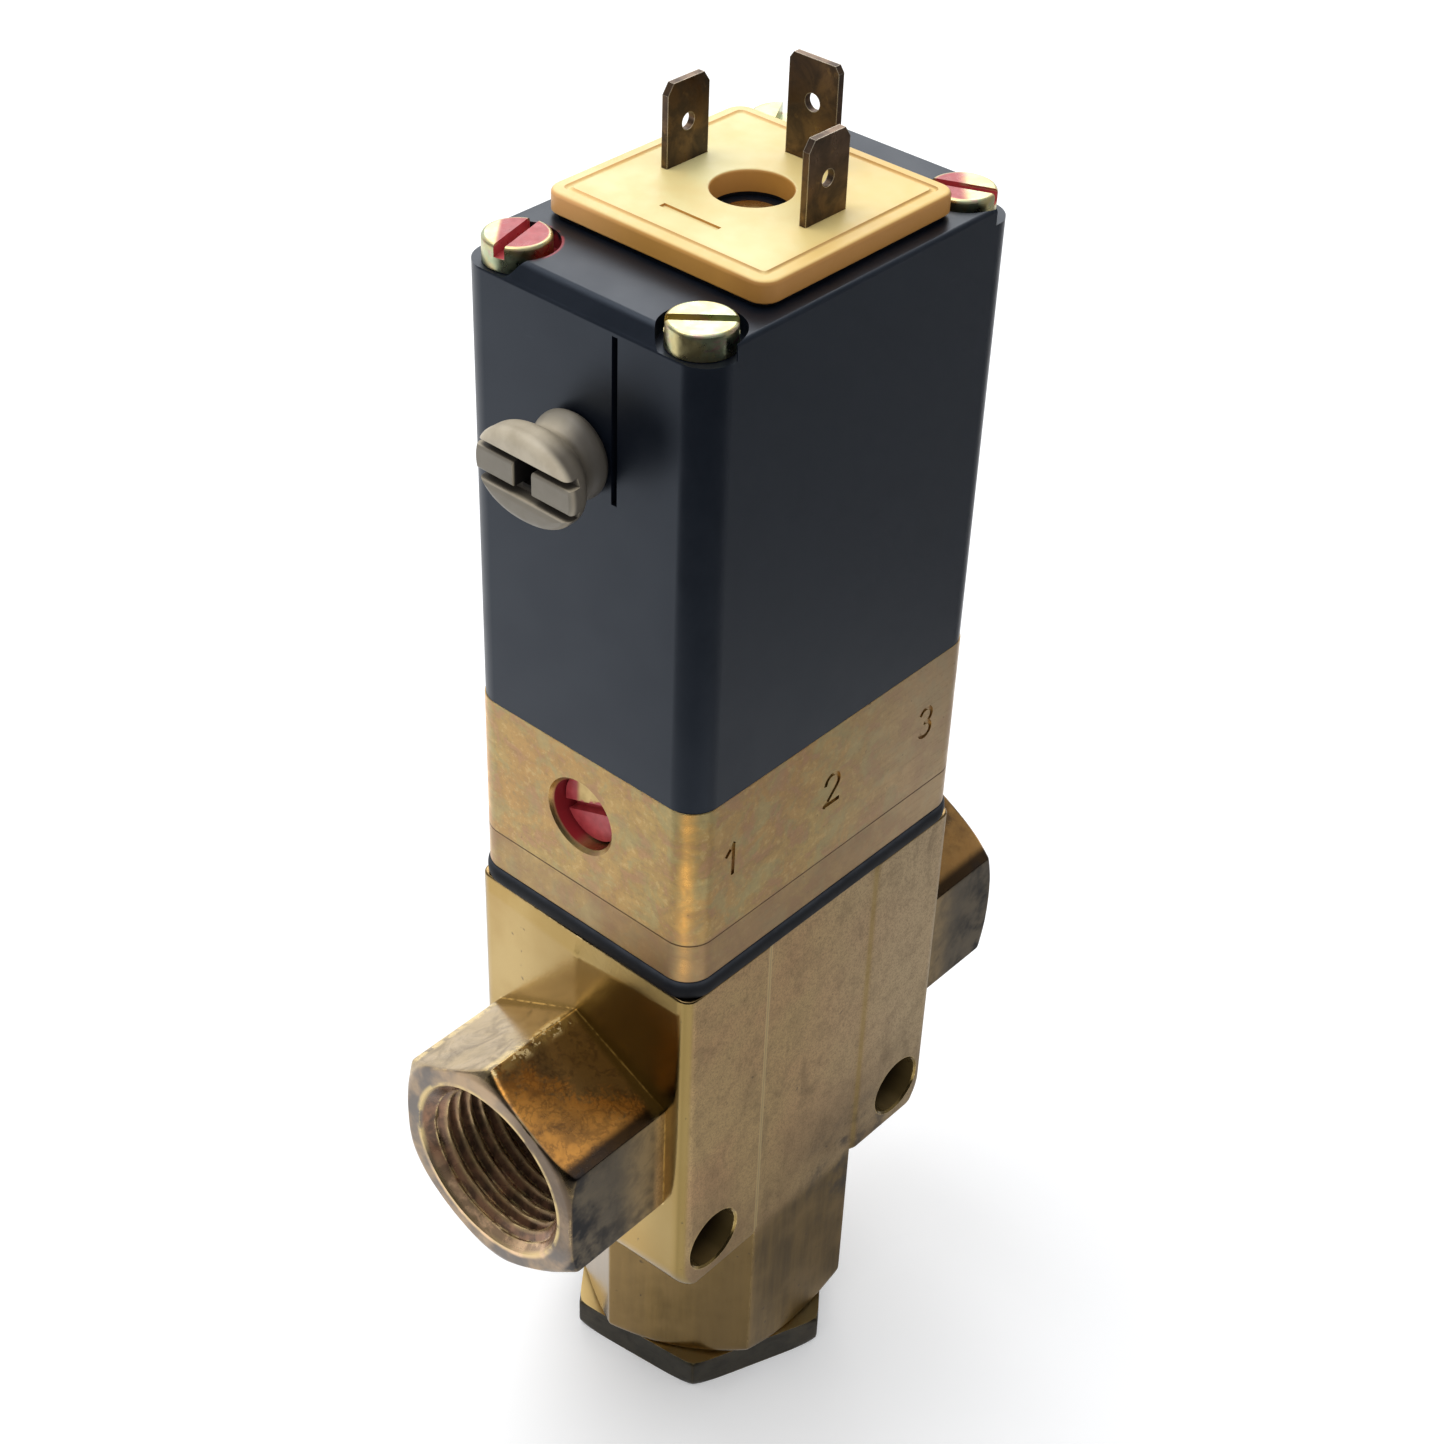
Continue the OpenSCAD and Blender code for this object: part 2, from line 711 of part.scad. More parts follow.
module cover_gasket() {
    edge = gasket_h / 4;
    proud = 2 * gasket_proud;
    color("#1d2026") difference() {
        union() {
            translate([0, 0, z_top]) linear_extrude(gasket_h)
                round_rect(stack_len + proud - edge, stack_wid + proud - edge, stack_corner);
            translate([0, 0, z_top + edge]) linear_extrude(gasket_h - 2 * edge)
                round_rect(stack_len + proud, stack_wid + proud, stack_corner + edge / 2);
        }
        bar_z(cylinder_r + 0.8, z_top - eps, z_cover + eps);
        translate([duct_x, 0, 0]) bar_z(duct_r + 0.2, z_top - eps, z_cover + eps);
        tie_holes(z_top, z_cover);
    }
}

// The first child at the supply duct and the second at the outlet duct, both through to the pilot block
module at_ducts() {
    translate([duct_x, 0, 0]) children(0);
    translate([outlet_duct_x, 0, 0]) children(1);
}

module cover_plate() {
    color("#ab8c55") difference() {
        translate([0, 0, z_cover]) linear_extrude(cover_h)
            round_rect(stack_len, stack_wid, stack_corner);
        bar_z(6, z_cover - eps, z_cover + nut_h);
        at_ducts() {
            bar_z(duct_r, z_cover - eps, z_pilot + eps);
            bar_z(outlet_duct_r, z_cover - eps, z_pilot + eps);
        }
        tie_holes(z_cover, z_pilot);
    }
}

module pilot_o_rings() {
    color("#1c1d20") at_ducts() {
        o_ring(duct_r + 0.1, duct_r + 1.3, z_pilot, ring_seat_deep);
        o_ring(outlet_duct_r + 0.1, outlet_duct_r + 1.3, z_pilot, ring_seat_deep);
    }
}

// A straight engraved stroke between two points, with square ends half a stroke past them
module stroke(a, b) {
    d = b - a;
    translate(a) rotate(atan2(d[1], d[0])) translate([-stroke_wid / 2, -stroke_wid / 2])
        square([norm(d) + stroke_wid, stroke_wid]);
}

// A round engraved stroke about the origin, from one angle to another
module arc_stroke(r, from, to) {
    far = 3 * r;
    mid = (from + to) / 2;
    intersection() {
        difference() {
            circle(r + stroke_wid / 2);
            circle(r - stroke_wid / 2);
        }
        polygon([[0, 0], far * [cos(from), sin(from)], far * [cos((from + mid) / 2),
            sin((from + mid) / 2)], far * [cos(mid), sin(mid)], far * [cos((mid + to) / 2),
            sin((mid + to) / 2)], far * [cos(to), sin(to)]]);
    }
}

module numeral_one() {
    stroke([0, -numeral_h / 2], [0, numeral_h / 2]);
    stroke([0, numeral_h / 2], [-numeral_h / 4, numeral_h / 4]);
}

module numeral_two() {
    r = numeral_h * 0.28;
    translate([0, numeral_h / 2 - r]) arc_stroke(r, -40, 170);
    stroke([r * cos(40), numeral_h / 2 - r - r * sin(40)], [-r, -numeral_h / 2]);
    stroke([-r, -numeral_h / 2], [r, -numeral_h / 2]);
}

module numeral_three() {
    r = numeral_h / 4;
    translate([0, r]) arc_stroke(r, -90, 150);
    translate([0, -r]) arc_stroke(r, -150, 90);
}

// Engraving on the front of the pilot block, beside each duct
module numerals() {
    translate([0, -half_wid + stroke_deep, nozzle_z]) rotate([90, 0, 0])
        linear_extrude(stroke_deep + eps) {
            translate([-half_len + 6.4, 0]) numeral_one();
            translate([-0.7, 0]) numeral_two();
            translate([half_len - 7.6, 0]) numeral_three();
        }
}

module pilot_block() {
    head_bore = seat_head_r + 0.25;
    color("#ad8f5a") difference() {
        translate([0, 0, z_pilot]) linear_extrude(pilot_h)
            round_rect(stack_len, stack_wid, stack_corner);
        translate([rocker_x, 0, 0]) {
            bar_z(pilot_room_r, pilot_room_foot, z_coil - diaphragm_h + eps);
            bar_z(diaphragm_r + slip_gap, z_coil - diaphragm_h, z_coil + eps);
        }
        bar_x(nozzle_body_r + slip_gap, seat_ring_x, rocker_x, nozzle_z);
        bar_x(head_bore, -half_len - eps, seat_ring_x + o_ring_h, nozzle_z);
        translate([-half_len - 0.01, 0, nozzle_z]) rotate([0, 90, 0])
            cylinder(r1 = head_bore + 0.4, r2 = head_bore, h = 0.4);
        bar_x(nozzle_body_r + slip_gap, rocker_x, exhaust_end_x, nozzle_z);
        bar_x(duct_r, exhaust_end_x - eps, half_len + eps, nozzle_z);
        at_ducts() {
            bar_z(duct_r, z_pilot - eps, nozzle_z);
            bar_z(outlet_duct_r, z_pilot - eps, pilot_room_foot + eps);
        }
        at_ducts() {
            bar_z(duct_r + 1.35, z_pilot - eps, z_pilot + ring_seat_deep);
            bar_z(outlet_duct_r + 1.35, z_pilot - eps, z_pilot + ring_seat_deep);
        }
        tie_holes(z_pilot, z_coil);
        numerals();
    }
}

module seat_screw() {
    step_x = seat_ring_x;
    slot_deep = 1.2;
    color("#b3372f") difference() {
        union() {
            bar_x(seat_head_r, seat_head_x, step_x, nozzle_z);
            bar_x(nozzle_body_r, step_x - eps, supply_tip_x - 2, nozzle_z);
            bar_x(nozzle_r, supply_tip_x - 2 - eps, supply_tip_x, nozzle_z);
        }
        translate([duct_x - 1.2, 0, nozzle_z]) rotate([0, 90, 0])
            ring(nozzle_body_r + 1, nozzle_body_r - 0.8, 0, 2.4);
        bar_x(jet_r, duct_x, supply_tip_x + eps, nozzle_z);
        bar_y(jet_r, duct_x, -nozzle_body_r, nozzle_body_r, nozzle_z);
        translate([seat_head_x, 0, nozzle_z]) rotate([seat_slot_turn, 0, 0])
            box([-eps, -seat_head_r - 1, -0.6], [slot_deep, seat_head_r + 1, 0.6]);
    }
}

module seat_screw_o_ring() {
    color("#1c1d20") translate([seat_ring_x, 0, nozzle_z]) rotate([0, 90, 0])
        o_ring(nozzle_body_r + slip_gap, seat_head_r + 0.2, 0.02, o_ring_h - 0.04);
}

module exhaust_nozzle() {
    color("#b0904f") difference() {
        union() {
            bar_x(nozzle_r, exhaust_tip_x, exhaust_tip_x + 2 + eps, nozzle_z);
            bar_x(nozzle_body_r, exhaust_tip_x + 2, exhaust_end_x, nozzle_z);
        }
        bar_x(jet_r, exhaust_tip_x - eps, exhaust_end_x + eps, nozzle_z);
    }
}

module separating_diaphragm() {
    slot_x = arm_thick / 2 + (pivot_z - z_coil + diaphragm_h) * sin(rocker_tilt) + free_gap;
    slot_y = arm_wid / 2 + free_gap;
    foot = z_coil - diaphragm_h;
    color("#2a2c30") difference() {
        translate([rocker_x, 0, 0]) bar_z(diaphragm_r, foot, z_coil);
        box([rocker_x - slot_x, -slot_y, foot - eps], [rocker_x + slot_x, slot_y, z_coil + eps]);
    }
}

module clamp_plate() {
    slot_x = boss_r + 2 * free_gap;
    slot_y = armature_wid / 2 + free_gap;
    color("#9a9da1") difference() {
        box([-room_x + free_gap, -room_y + free_gap, z_coil],
            [room_x - free_gap, room_y - free_gap, z_coil + clamp_h]);
        box([rocker_x - slot_x, -slot_y, z_coil - eps],
            [rocker_x + slot_x, slot_y, z_coil + clamp_h + eps]);
    }
}

module yoke() {
    cheek_end = rocker_x - boss_r;
    color("#8a8c8f") difference() {
        union() {
            box([rocker_x + boss_r + 0.6, -cheek_y - cheek_thick, yoke_top - yoke_h],
                [yoke_end_x, cheek_y + cheek_thick, yoke_top]);
            for (s = [0, 1]) mirror([0, s, 0])
                box([cheek_end, cheek_y, yoke_foot], [yoke_end_x, cheek_y + cheek_thick, yoke_top]);
        }
        bar_y(pin_r + slip_gap, rocker_x, -stack_wid, stack_wid, pivot_z);
        translate([core_x, 0, 0]) bar_z(spigot_r + slip_gap, yoke_top - yoke_h - eps, yoke_top + eps);
    }
}

module core() {
    color("#8f9194") translate([core_x, 0, 0]) {
        bar_z(core_r, yoke_top, pole_foot);
        bar_z(spigot_r, yoke_top - yoke_h, yoke_top + eps);
        bar_z(spigot_r, pole_foot - eps, pole_top);
    }
}

module pole_shoe() {
    color("#8a8c8f") difference() {
        box([pole_x, -armature_wid / 2, pole_foot], [yoke_end_x, armature_wid / 2, pole_top]);
        translate([core_x, 0, 0]) bar_z(spigot_r + slip_gap, pole_foot - eps, pole_top + eps);
        bar_x(spring_bore_r, pole_x - eps, spring_x, spring_z);
    }
}

module bobbin() {
    color("#d8d2bf") translate([core_x, 0, 0]) difference() {
        union() {
            bar_z(core_r + bobbin_wall, bobbin_foot, bobbin_top);
            bar_z(bobbin_r, bobbin_foot, bobbin_foot + flange_h);
            bar_z(bobbin_r, bobbin_top - flange_h, bobbin_top);
        }
        bar_z(core_r + run_gap, bobbin_foot - eps, bobbin_top + eps);
    }
}

module winding() {
    color("#a4552a") translate([core_x, 0, 0])
        ring(bobbin_r - 0.6, core_r + bobbin_wall + slip_gap, bobbin_foot + flange_h + 0.02,
            bobbin_top - bobbin_foot - 2 * flange_h - 0.04);
}

module pivot_pin() {
    reach = cheek_y + cheek_thick;
    color("#b4b6b9") bar_y(pin_r, rocker_x, -reach, reach, pivot_z);
}

module rocker() {
    half = armature_wid / 2;
    color("#9b9da0") difference() {
        union() {
            box([armature_back_x, -half, pivot_z], [armature_face_x, half, armature_top]);
            bar_y(boss_r, rocker_x, -half, half, pivot_z);
            box([rocker_x - arm_thick / 2, -arm_wid / 2, arm_foot],
                [rocker_x + arm_thick / 2, arm_wid / 2, pivot_z]);
            box([armature_back_x, finger_out, armature_top - eps],
                [armature_face_x, finger_in, finger_top]);
        }
        bar_y(pin_r + run_gap, rocker_x, -half - eps, half + eps, pivot_z);
        for (s = [-1, 1]) translate([rocker_x + s * (arm_thick / 2 - pad_deep / 2), 0, 0])
            bar_x(pad_r + slip_gap, -pad_deep / 2 - (s < 0 ? eps : 0),
                pad_deep / 2 + (s > 0 ? eps : 0), nozzle_z);
    }
}

module flapper_pads() {
    outer = arm_thick / 2 + pad_proud;
    inner = arm_thick / 2 - pad_deep;
    color("#1c1d20") translate([rocker_x, 0, 0]) {
        bar_x(pad_r, -outer, -inner, nozzle_z);
        bar_x(pad_r, inner, outer, nozzle_z);
    }
}

module rocker_spring() {
    color("#9a9da1") translate([armature_face_x + 0.02, 0, spring_z]) rotate([0, 90, 0])
        coil_spring(rocker_spring_r, rocker_wire, rocker_curls, spring_x - armature_face_x - 0.04);
}

// Block outline with a slope along the supply side of its top and small cuts along the other edges
module housing_blank() {
    l = 2 * coil_half_len;
    w = 2 * coil_half_wid;
    h = coil_h + boss_h;
    intersection() {
        translate([0, 0, z_coil]) linear_extrude(h) round_rect(l, w, coil_corner);
        translate([0, stack_wid, z_coil]) rotate([90, 0, 0]) linear_extrude(2 * stack_wid)
            slant_outline(coil_half_len, h, boss_slope, boss_h);
        translate([-stack_len, 0, z_coil]) rotate([90, 0, 90]) linear_extrude(2 * stack_len)
            slant_outline(coil_half_wid, h, boss_edge, boss_edge);
    }
}

// A rectangle on the X axis with its upper corners cut, the left one wid wide and deep high
module slant_outline(half, h, wid, deep) {
    polygon([[-half, 0], [half, 0], [half, h - boss_edge], [half - boss_edge, h],
        [-half + wid, h], [-half, h - deep]]);
}

// Room for the magnet, clear of the tie screws, with a post that holds the pole shoe down
module coil_room() {
    difference() {
        union() {
            box([-room_x, -room_y, z_coil - eps], [room_x, room_y, room_top]);
            box([-mid_room_back, -mid_room_y, z_coil - eps], [mid_room_front, mid_room_y, room_top]);
        }
        box([core_x - post_half, -post_half, pole_top + 0.02],
            [core_x + post_half, post_half, room_top + eps]);
    }
}

// Openings for the three blades, grown by a gap
module blade_slots(gap) {
    for (s = [-1, 1]) translate([plate_x, s * blade_out, 0])
        box([-contact_wid / 2 - gap, -blade_thick / 2 - gap, blade_root - gap],
            [contact_wid / 2 + gap, blade_thick / 2 + gap, z_face + eps]);
    translate([plate_x + blade_out, 0, 0])
        box([-blade_thick / 2 - gap, -earth_wid / 2 - gap, blade_root - gap],
            [blade_thick / 2 + gap, earth_wid / 2 + gap, z_face + eps]);
}

module coil_housing() {
    color("#2b2e35") difference() {
        housing_blank();
        coil_room();
        at_ties() bar_z(pocket_r, z_boss, z_seal + eps);
        for (sx = [0, 1], sy = [0, 1]) mirror([sx, 0, 0]) mirror([0, sy, 0])
            box([tie_x, tie_y, z_boss], [stack_len, stack_wid, z_seal + eps]);
        tie_holes(z_coil, z_boss);
        bar_x(knob_shaft_r + 0.1, -coil_half_len - eps, bush_out_x + eps, knob_z);
        bar_x(bush_body_r + slip_gap, bush_out_x, -mid_room_back + eps, knob_z);
        box([-stack_len, -slit_y - slit_wid / 2, slit_foot],
            [-coil_half_len + slit_deep, -slit_y + slit_wid / 2, z_boss - 0.6]);
        translate([plate_x, 0, 0]) bar_z(insert_r + slip_gap, z_seal - insert_h, z_seal + eps);
        blade_slots(slip_gap);
    }
}

module override_bush() {
    color("#c9c2ae") difference() {
        union() {
            bar_x(bush_body_r, bush_out_x + 0.02, bush_flange_x + eps, knob_z);
            bar_x(bush_flange_r, bush_flange_x, bush_flange_x + bush_flange_h, knob_z);
        }
        bar_x(knob_shaft_r + run_gap, bush_out_x - eps, bush_flange_x + bush_flange_h + eps, knob_z);
    }
}

// Outline of the grip, a bar with round ends, in the plane of the knob's face
module grip_outline(len, h) {
    square([h, len - h], center = true);
    for (s = [-1, 1]) translate([0, s * (len - h) / 2]) circle(h / 2, $fn = 32);
}

// The grip and the neck that widens into it from the round foot
module knob_head() {
    foot_h = 1.2;
    neck_x = knob_face_x + grip_deep;
    bar_x(knob_foot_r, foot_face_x - foot_h, foot_face_x, knob_z);
    translate([knob_face_x, 0, knob_z]) rotate([0, 90, 0])
        linear_extrude(grip_deep) grip_outline(grip_len, grip_h);
    hull() {
        translate([neck_x - 1, 0, knob_z]) rotate([0, 90, 0])
            linear_extrude(0.5) grip_outline(grip_len - 1.5, grip_h);
        bar_x(knob_foot_r - 0.3, foot_face_x - foot_h - 0.4, foot_face_x - foot_h + 0.2, knob_z,
            $fn = 32);
    }
}

// The slanted face at the shaft's inner end, which pushes the rocker's finger
module cam_blank() {
    reach = 4 * cam_r;
    difference() {
        bar_x(cam_r, cam_back_x, cam_x + cam_slope * cam_r + 1, knob_z);
        translate([cam_x, 0, knob_z]) rotate([0, 0, -atan(cam_slope)])
            box([0, -reach, -reach], [reach, reach, reach]);
    }
}

module override_knob() {
    slot_deep = 2;
    color("#8f866e") difference() {
        union() {
            knob_head();
            bar_x(knob_shaft_r, foot_face_x - eps, cam_back_x + eps, knob_z);
            cam_blank();
        }
        translate([0, 0, knob_z]) box([knob_face_x - eps, -grip_len, -knob_slot / 2],
            [knob_face_x + slot_deep, grip_len, knob_slot / 2]);
        translate([0, 0, knob_z]) box([knob_face_x, -1.1, -1.1], [knob_face_x + 5, 1.1, 1.1]);
        translate([ring_groove_x, 0, knob_z]) rotate([0, 90, 0])
            ring(knob_shaft_r + 0.09, knob_shaft_r - 0.9, 0, 1.5);
    }
}

module override_o_ring() {
    color("#1c1d20") translate([ring_groove_x, 0, knob_z]) rotate([0, 90, 0])
        o_ring(knob_shaft_r - 0.9 + slip_gap, knob_shaft_r + 0.04, 0.05, 1.4);
}

module tie_screws() {
    foot = z_top - tie_grip;
    slot_deep = 1.3;
    turns = [[-1, -1, -48], [-1, 1, 15], [1, -1, -67], [1, 1, 30]];
    color("#c6b472") for (t = turns) translate([t[0] * tie_x, t[1] * tie_y, 0]) difference() {
        union() {
            bar_z(tie_r, foot, z_boss + eps);
            bar_z(tie_head_r, z_boss, z_boss + tie_head_h - 0.3);
            translate([0, 0, z_boss + tie_head_h - 0.3])
                cylinder(r1 = tie_head_r, r2 = tie_head_r - 0.3, h = 0.3);
        }
        rotate([0, 0, t[2]]) translate([0, 0, z_boss + tie_head_h])
            box([-tie_head_r - 1, -tie_slot / 2, -slot_deep], [tie_head_r + 1, tie_slot / 2, eps]);
    }
}

module plate_seal() {
    side = plate_side - 1;
    color("#202226") difference() {
        translate([plate_x, 0, z_seal]) linear_extrude(seal_h) round_rect(side, side, plate_corner);
        translate([plate_x, 0, 0]) bar_z(plate_hole_r, z_seal - eps, z_plate + eps);
        blade_slots(slip_gap);
    }
}

module terminal_plate() {
    rim = plate_side - 2 * rim_inset;
    inner = rim - 2 * groove_wid;
    color("#d9a441") difference() {
        translate([plate_x, 0, z_plate]) linear_extrude(plate_h)
            round_rect(plate_side, plate_side, plate_corner);
        translate([plate_x, 0, z_face - groove_deep]) linear_extrude(groove_deep + eps) difference() {
            round_rect(rim, rim, plate_corner - groove_wid);
            round_rect(inner, inner, plate_corner - 2 * groove_wid);
        }
        translate([plate_x, 0, 0]) bar_z(plate_hole_r, z_plate - eps, z_face + eps);
        translate([plate_x + mark_x, 0, 0]) box([-mark_wid / 2, -mark_len / 2, z_face - groove_deep],
            [mark_wid / 2, mark_len / 2, z_face + eps]);
        blade_slots(slip_gap);
    }
}

module plug_insert() {
    color("#b0904f") translate([plate_x, 0, 0]) ring(insert_r, screw_hole_r, z_seal - insert_h, insert_h);
}

// A blade in the plane of local X and Z, with a cut top and a round hole
module blade(wid, h, hole, cut) {
    top = z_face + h;
    half = wid / 2;
    difference() {
        translate([0, blade_thick / 2, 0]) rotate([90, 0, 0]) linear_extrude(blade_thick)
            polygon([[-half, blade_root], [half, blade_root], [half, top - 1.4 * cut],
                [half - cut, top], [-half + cut, top], [-half, top - 1.4 * cut]]);
        bar_y(hole, 0, -blade_thick, blade_thick, top - blade_hole_drop);
    }
}

module contact_blades() {
    color("#6d5134") for (s = [-1, 1]) translate([plate_x, s * blade_out, 0])
        blade(contact_wid, contact_h, 0.9, 0.8);
}

module earth_blade() {
    color("#6d5134") translate([plate_x + blade_out, 0, 0]) rotate([0, 0, 90])
        blade(earth_wid, earth_h, 0.95, 0.5);
}

valve_body();
port_fitting();
fitting_o_ring();
nose_o_ring();
spring_seat();
seat_circlip();
return_spring();
spindle();
valve_disc();
disc_seals();
disc_nut();
servo_piston();
piston_seal();
piston_nut();
guide_bush();
guide_o_ring();
bush_circlip();
cover_gasket();
cover_plate();
pilot_o_rings();
pilot_block();
seat_screw();
seat_screw_o_ring();
exhaust_nozzle();
separating_diaphragm();
clamp_plate();
yoke();
core();
pole_shoe();
bobbin();
winding();
pivot_pin();
rocker();
flapper_pads();
rocker_spring();
coil_housing();
override_bush();
override_knob();
override_o_ring();
tie_screws();
plate_seal();
terminal_plate();
plug_insert();
contact_blades();
earth_blade();
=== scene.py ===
# %% [markdown]
# # A servo-assisted solenoid valve
#
# The valve stands on its lower port: a forged brass body, a black seal, a brass cover plate and pilot
# block, a moulded coil case with a khaki override knob, and an amber terminal plate with three blades.
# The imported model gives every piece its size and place. This lesson gives the pieces that show softer
# edges, real threads and worn finishes, and gives the inner pieces finishes alone.

# %% Load the frame
import json
import math

import bmesh
import bpy
import numpy as np
from mathutils import Matrix, Vector


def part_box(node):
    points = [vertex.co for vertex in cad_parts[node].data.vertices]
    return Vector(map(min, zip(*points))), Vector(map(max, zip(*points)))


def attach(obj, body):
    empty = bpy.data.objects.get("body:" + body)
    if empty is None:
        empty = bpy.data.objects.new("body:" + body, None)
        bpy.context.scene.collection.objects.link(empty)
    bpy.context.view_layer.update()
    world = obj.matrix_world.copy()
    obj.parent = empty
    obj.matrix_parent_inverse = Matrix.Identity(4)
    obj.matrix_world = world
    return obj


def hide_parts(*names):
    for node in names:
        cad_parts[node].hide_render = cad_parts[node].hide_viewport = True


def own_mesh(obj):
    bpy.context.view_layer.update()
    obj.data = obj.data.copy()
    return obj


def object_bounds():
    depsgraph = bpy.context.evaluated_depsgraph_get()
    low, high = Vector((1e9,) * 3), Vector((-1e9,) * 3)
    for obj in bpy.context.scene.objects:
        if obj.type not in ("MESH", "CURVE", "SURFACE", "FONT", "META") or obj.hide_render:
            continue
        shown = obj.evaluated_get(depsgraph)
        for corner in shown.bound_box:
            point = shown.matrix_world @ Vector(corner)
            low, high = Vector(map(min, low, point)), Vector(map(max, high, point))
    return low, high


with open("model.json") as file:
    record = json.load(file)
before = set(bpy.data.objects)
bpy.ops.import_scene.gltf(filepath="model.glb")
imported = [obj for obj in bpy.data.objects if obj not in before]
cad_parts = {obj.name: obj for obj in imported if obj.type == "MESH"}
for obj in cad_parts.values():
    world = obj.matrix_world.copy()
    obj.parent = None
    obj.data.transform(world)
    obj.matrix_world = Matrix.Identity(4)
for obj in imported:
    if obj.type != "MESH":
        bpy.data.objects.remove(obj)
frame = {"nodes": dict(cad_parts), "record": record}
cad_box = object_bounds()
MM = 0.001
mounts = {mount["name"]: mount for mount in frame["record"]["mounts"]}

# %% [markdown]
# ## Sizes
# Shapes are worked out in millimetres and become metres only when a mesh is made. The levels and
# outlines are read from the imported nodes, so that each new piece fits its neighbours.

# %% Levels and outlines from the frame


def span(node):
    """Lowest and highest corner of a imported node, in millimetres."""
    low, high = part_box(node)
    return np.array(low) / MM, np.array(high) / MM


body_low, body_high = span("valve_body")
fitting_high = span("port_fitting")[1]
gasket_low, gasket_high = span("cover_gasket")
cover_low, cover_high = span("cover_plate")
pilot_low, pilot_high = span("pilot_block")
case_low, case_high = span("coil_housing")
plate_low, plate_high = span("terminal_plate")
screws_low, screws_high = span("tie_screws")
port_x = body_high[0]
port_z = mounts["port_supply"]["pos_m"][2] / MM
thread_r = mounts["port_supply"]["dims"]["r_mm"]
hole_r = mounts["mounting_holes"]["dims"]["hole_r_mm"]
hole_x = mounts["mounting_holes"]["dims"]["spacing_x_mm"] / 2
hole_z = mounts["mounting_holes"]["pos_m"][2] / MM
HEAD_R = 3.5
tie_x = screws_high[0] - HEAD_R
tie_y = screws_high[1] - HEAD_R
print("height over all:", round(span("earth_blade")[1][2], 2), "mm; screws at", tie_x, tie_y)

# %% [markdown]
# ## Camera, floor and light
# The picture was taken from above and to the left with a lens of medium length. The camera is set by
# its azimuth, elevation and roll. The floor is a white sheet and the back of the room is bright, so
# broad faces mirror white. Polished metal also needs something dark to mirror, or its edges vanish, so
# cards stand where a studio hangs black cloth: two near the camera and one round the front half of the
# room. A grey sheet on the floor in front is a painted shadow of the floor there. They are seen in
# mirrors only.

# %% Camera
PICTURE_WIDTH = 1445
FOCAL_PIXELS = 2475.6
SENSOR = 36.0
AZIMUTH, ELEVATION, ROLL = np.radians([-49.472, 37.566, 2.248])
CAMERA_PLACE = np.array([-0.1699, -0.1449, 0.2682])

back = np.array([math.sin(AZIMUTH) * math.cos(ELEVATION),
                 -math.cos(AZIMUTH) * math.cos(ELEVATION), math.sin(ELEVATION)])
level = np.array([math.cos(AZIMUTH), math.sin(AZIMUTH), 0.0])
right = level * math.cos(ROLL) + np.cross(back, level) * math.sin(ROLL)
pose = np.eye(4)
pose[:3] = np.stack([right, np.cross(back, right), back, CAMERA_PLACE], 1)

scene = bpy.context.scene
lens = bpy.data.cameras.new("studio_camera")
lens.lens = SENSOR * FOCAL_PIXELS / PICTURE_WIDTH
lens.sensor_width = SENSOR
lens.clip_start = 0.01
camera = bpy.data.objects.new("studio_camera", lens)
camera.matrix_world = Matrix(pose.tolist())
scene.collection.objects.link(camera)
scene.camera = camera
scene.view_settings.view_transform = "Standard"
print("lens:", round(lens.lens, 2), "mm")

# %% [markdown]
# Every finish is a small tree of nodes. A helper class keeps the wiring short: it makes a node, fills
# its sockets from values or from other nodes' outputs, and hands back the output that is used most.
# Positions come from Object coordinates scaled to millimetres, so a noise of scale 0.1 has blotches
# about ten millimetres wide.

# %% Finish helper
DEEP = 0.35


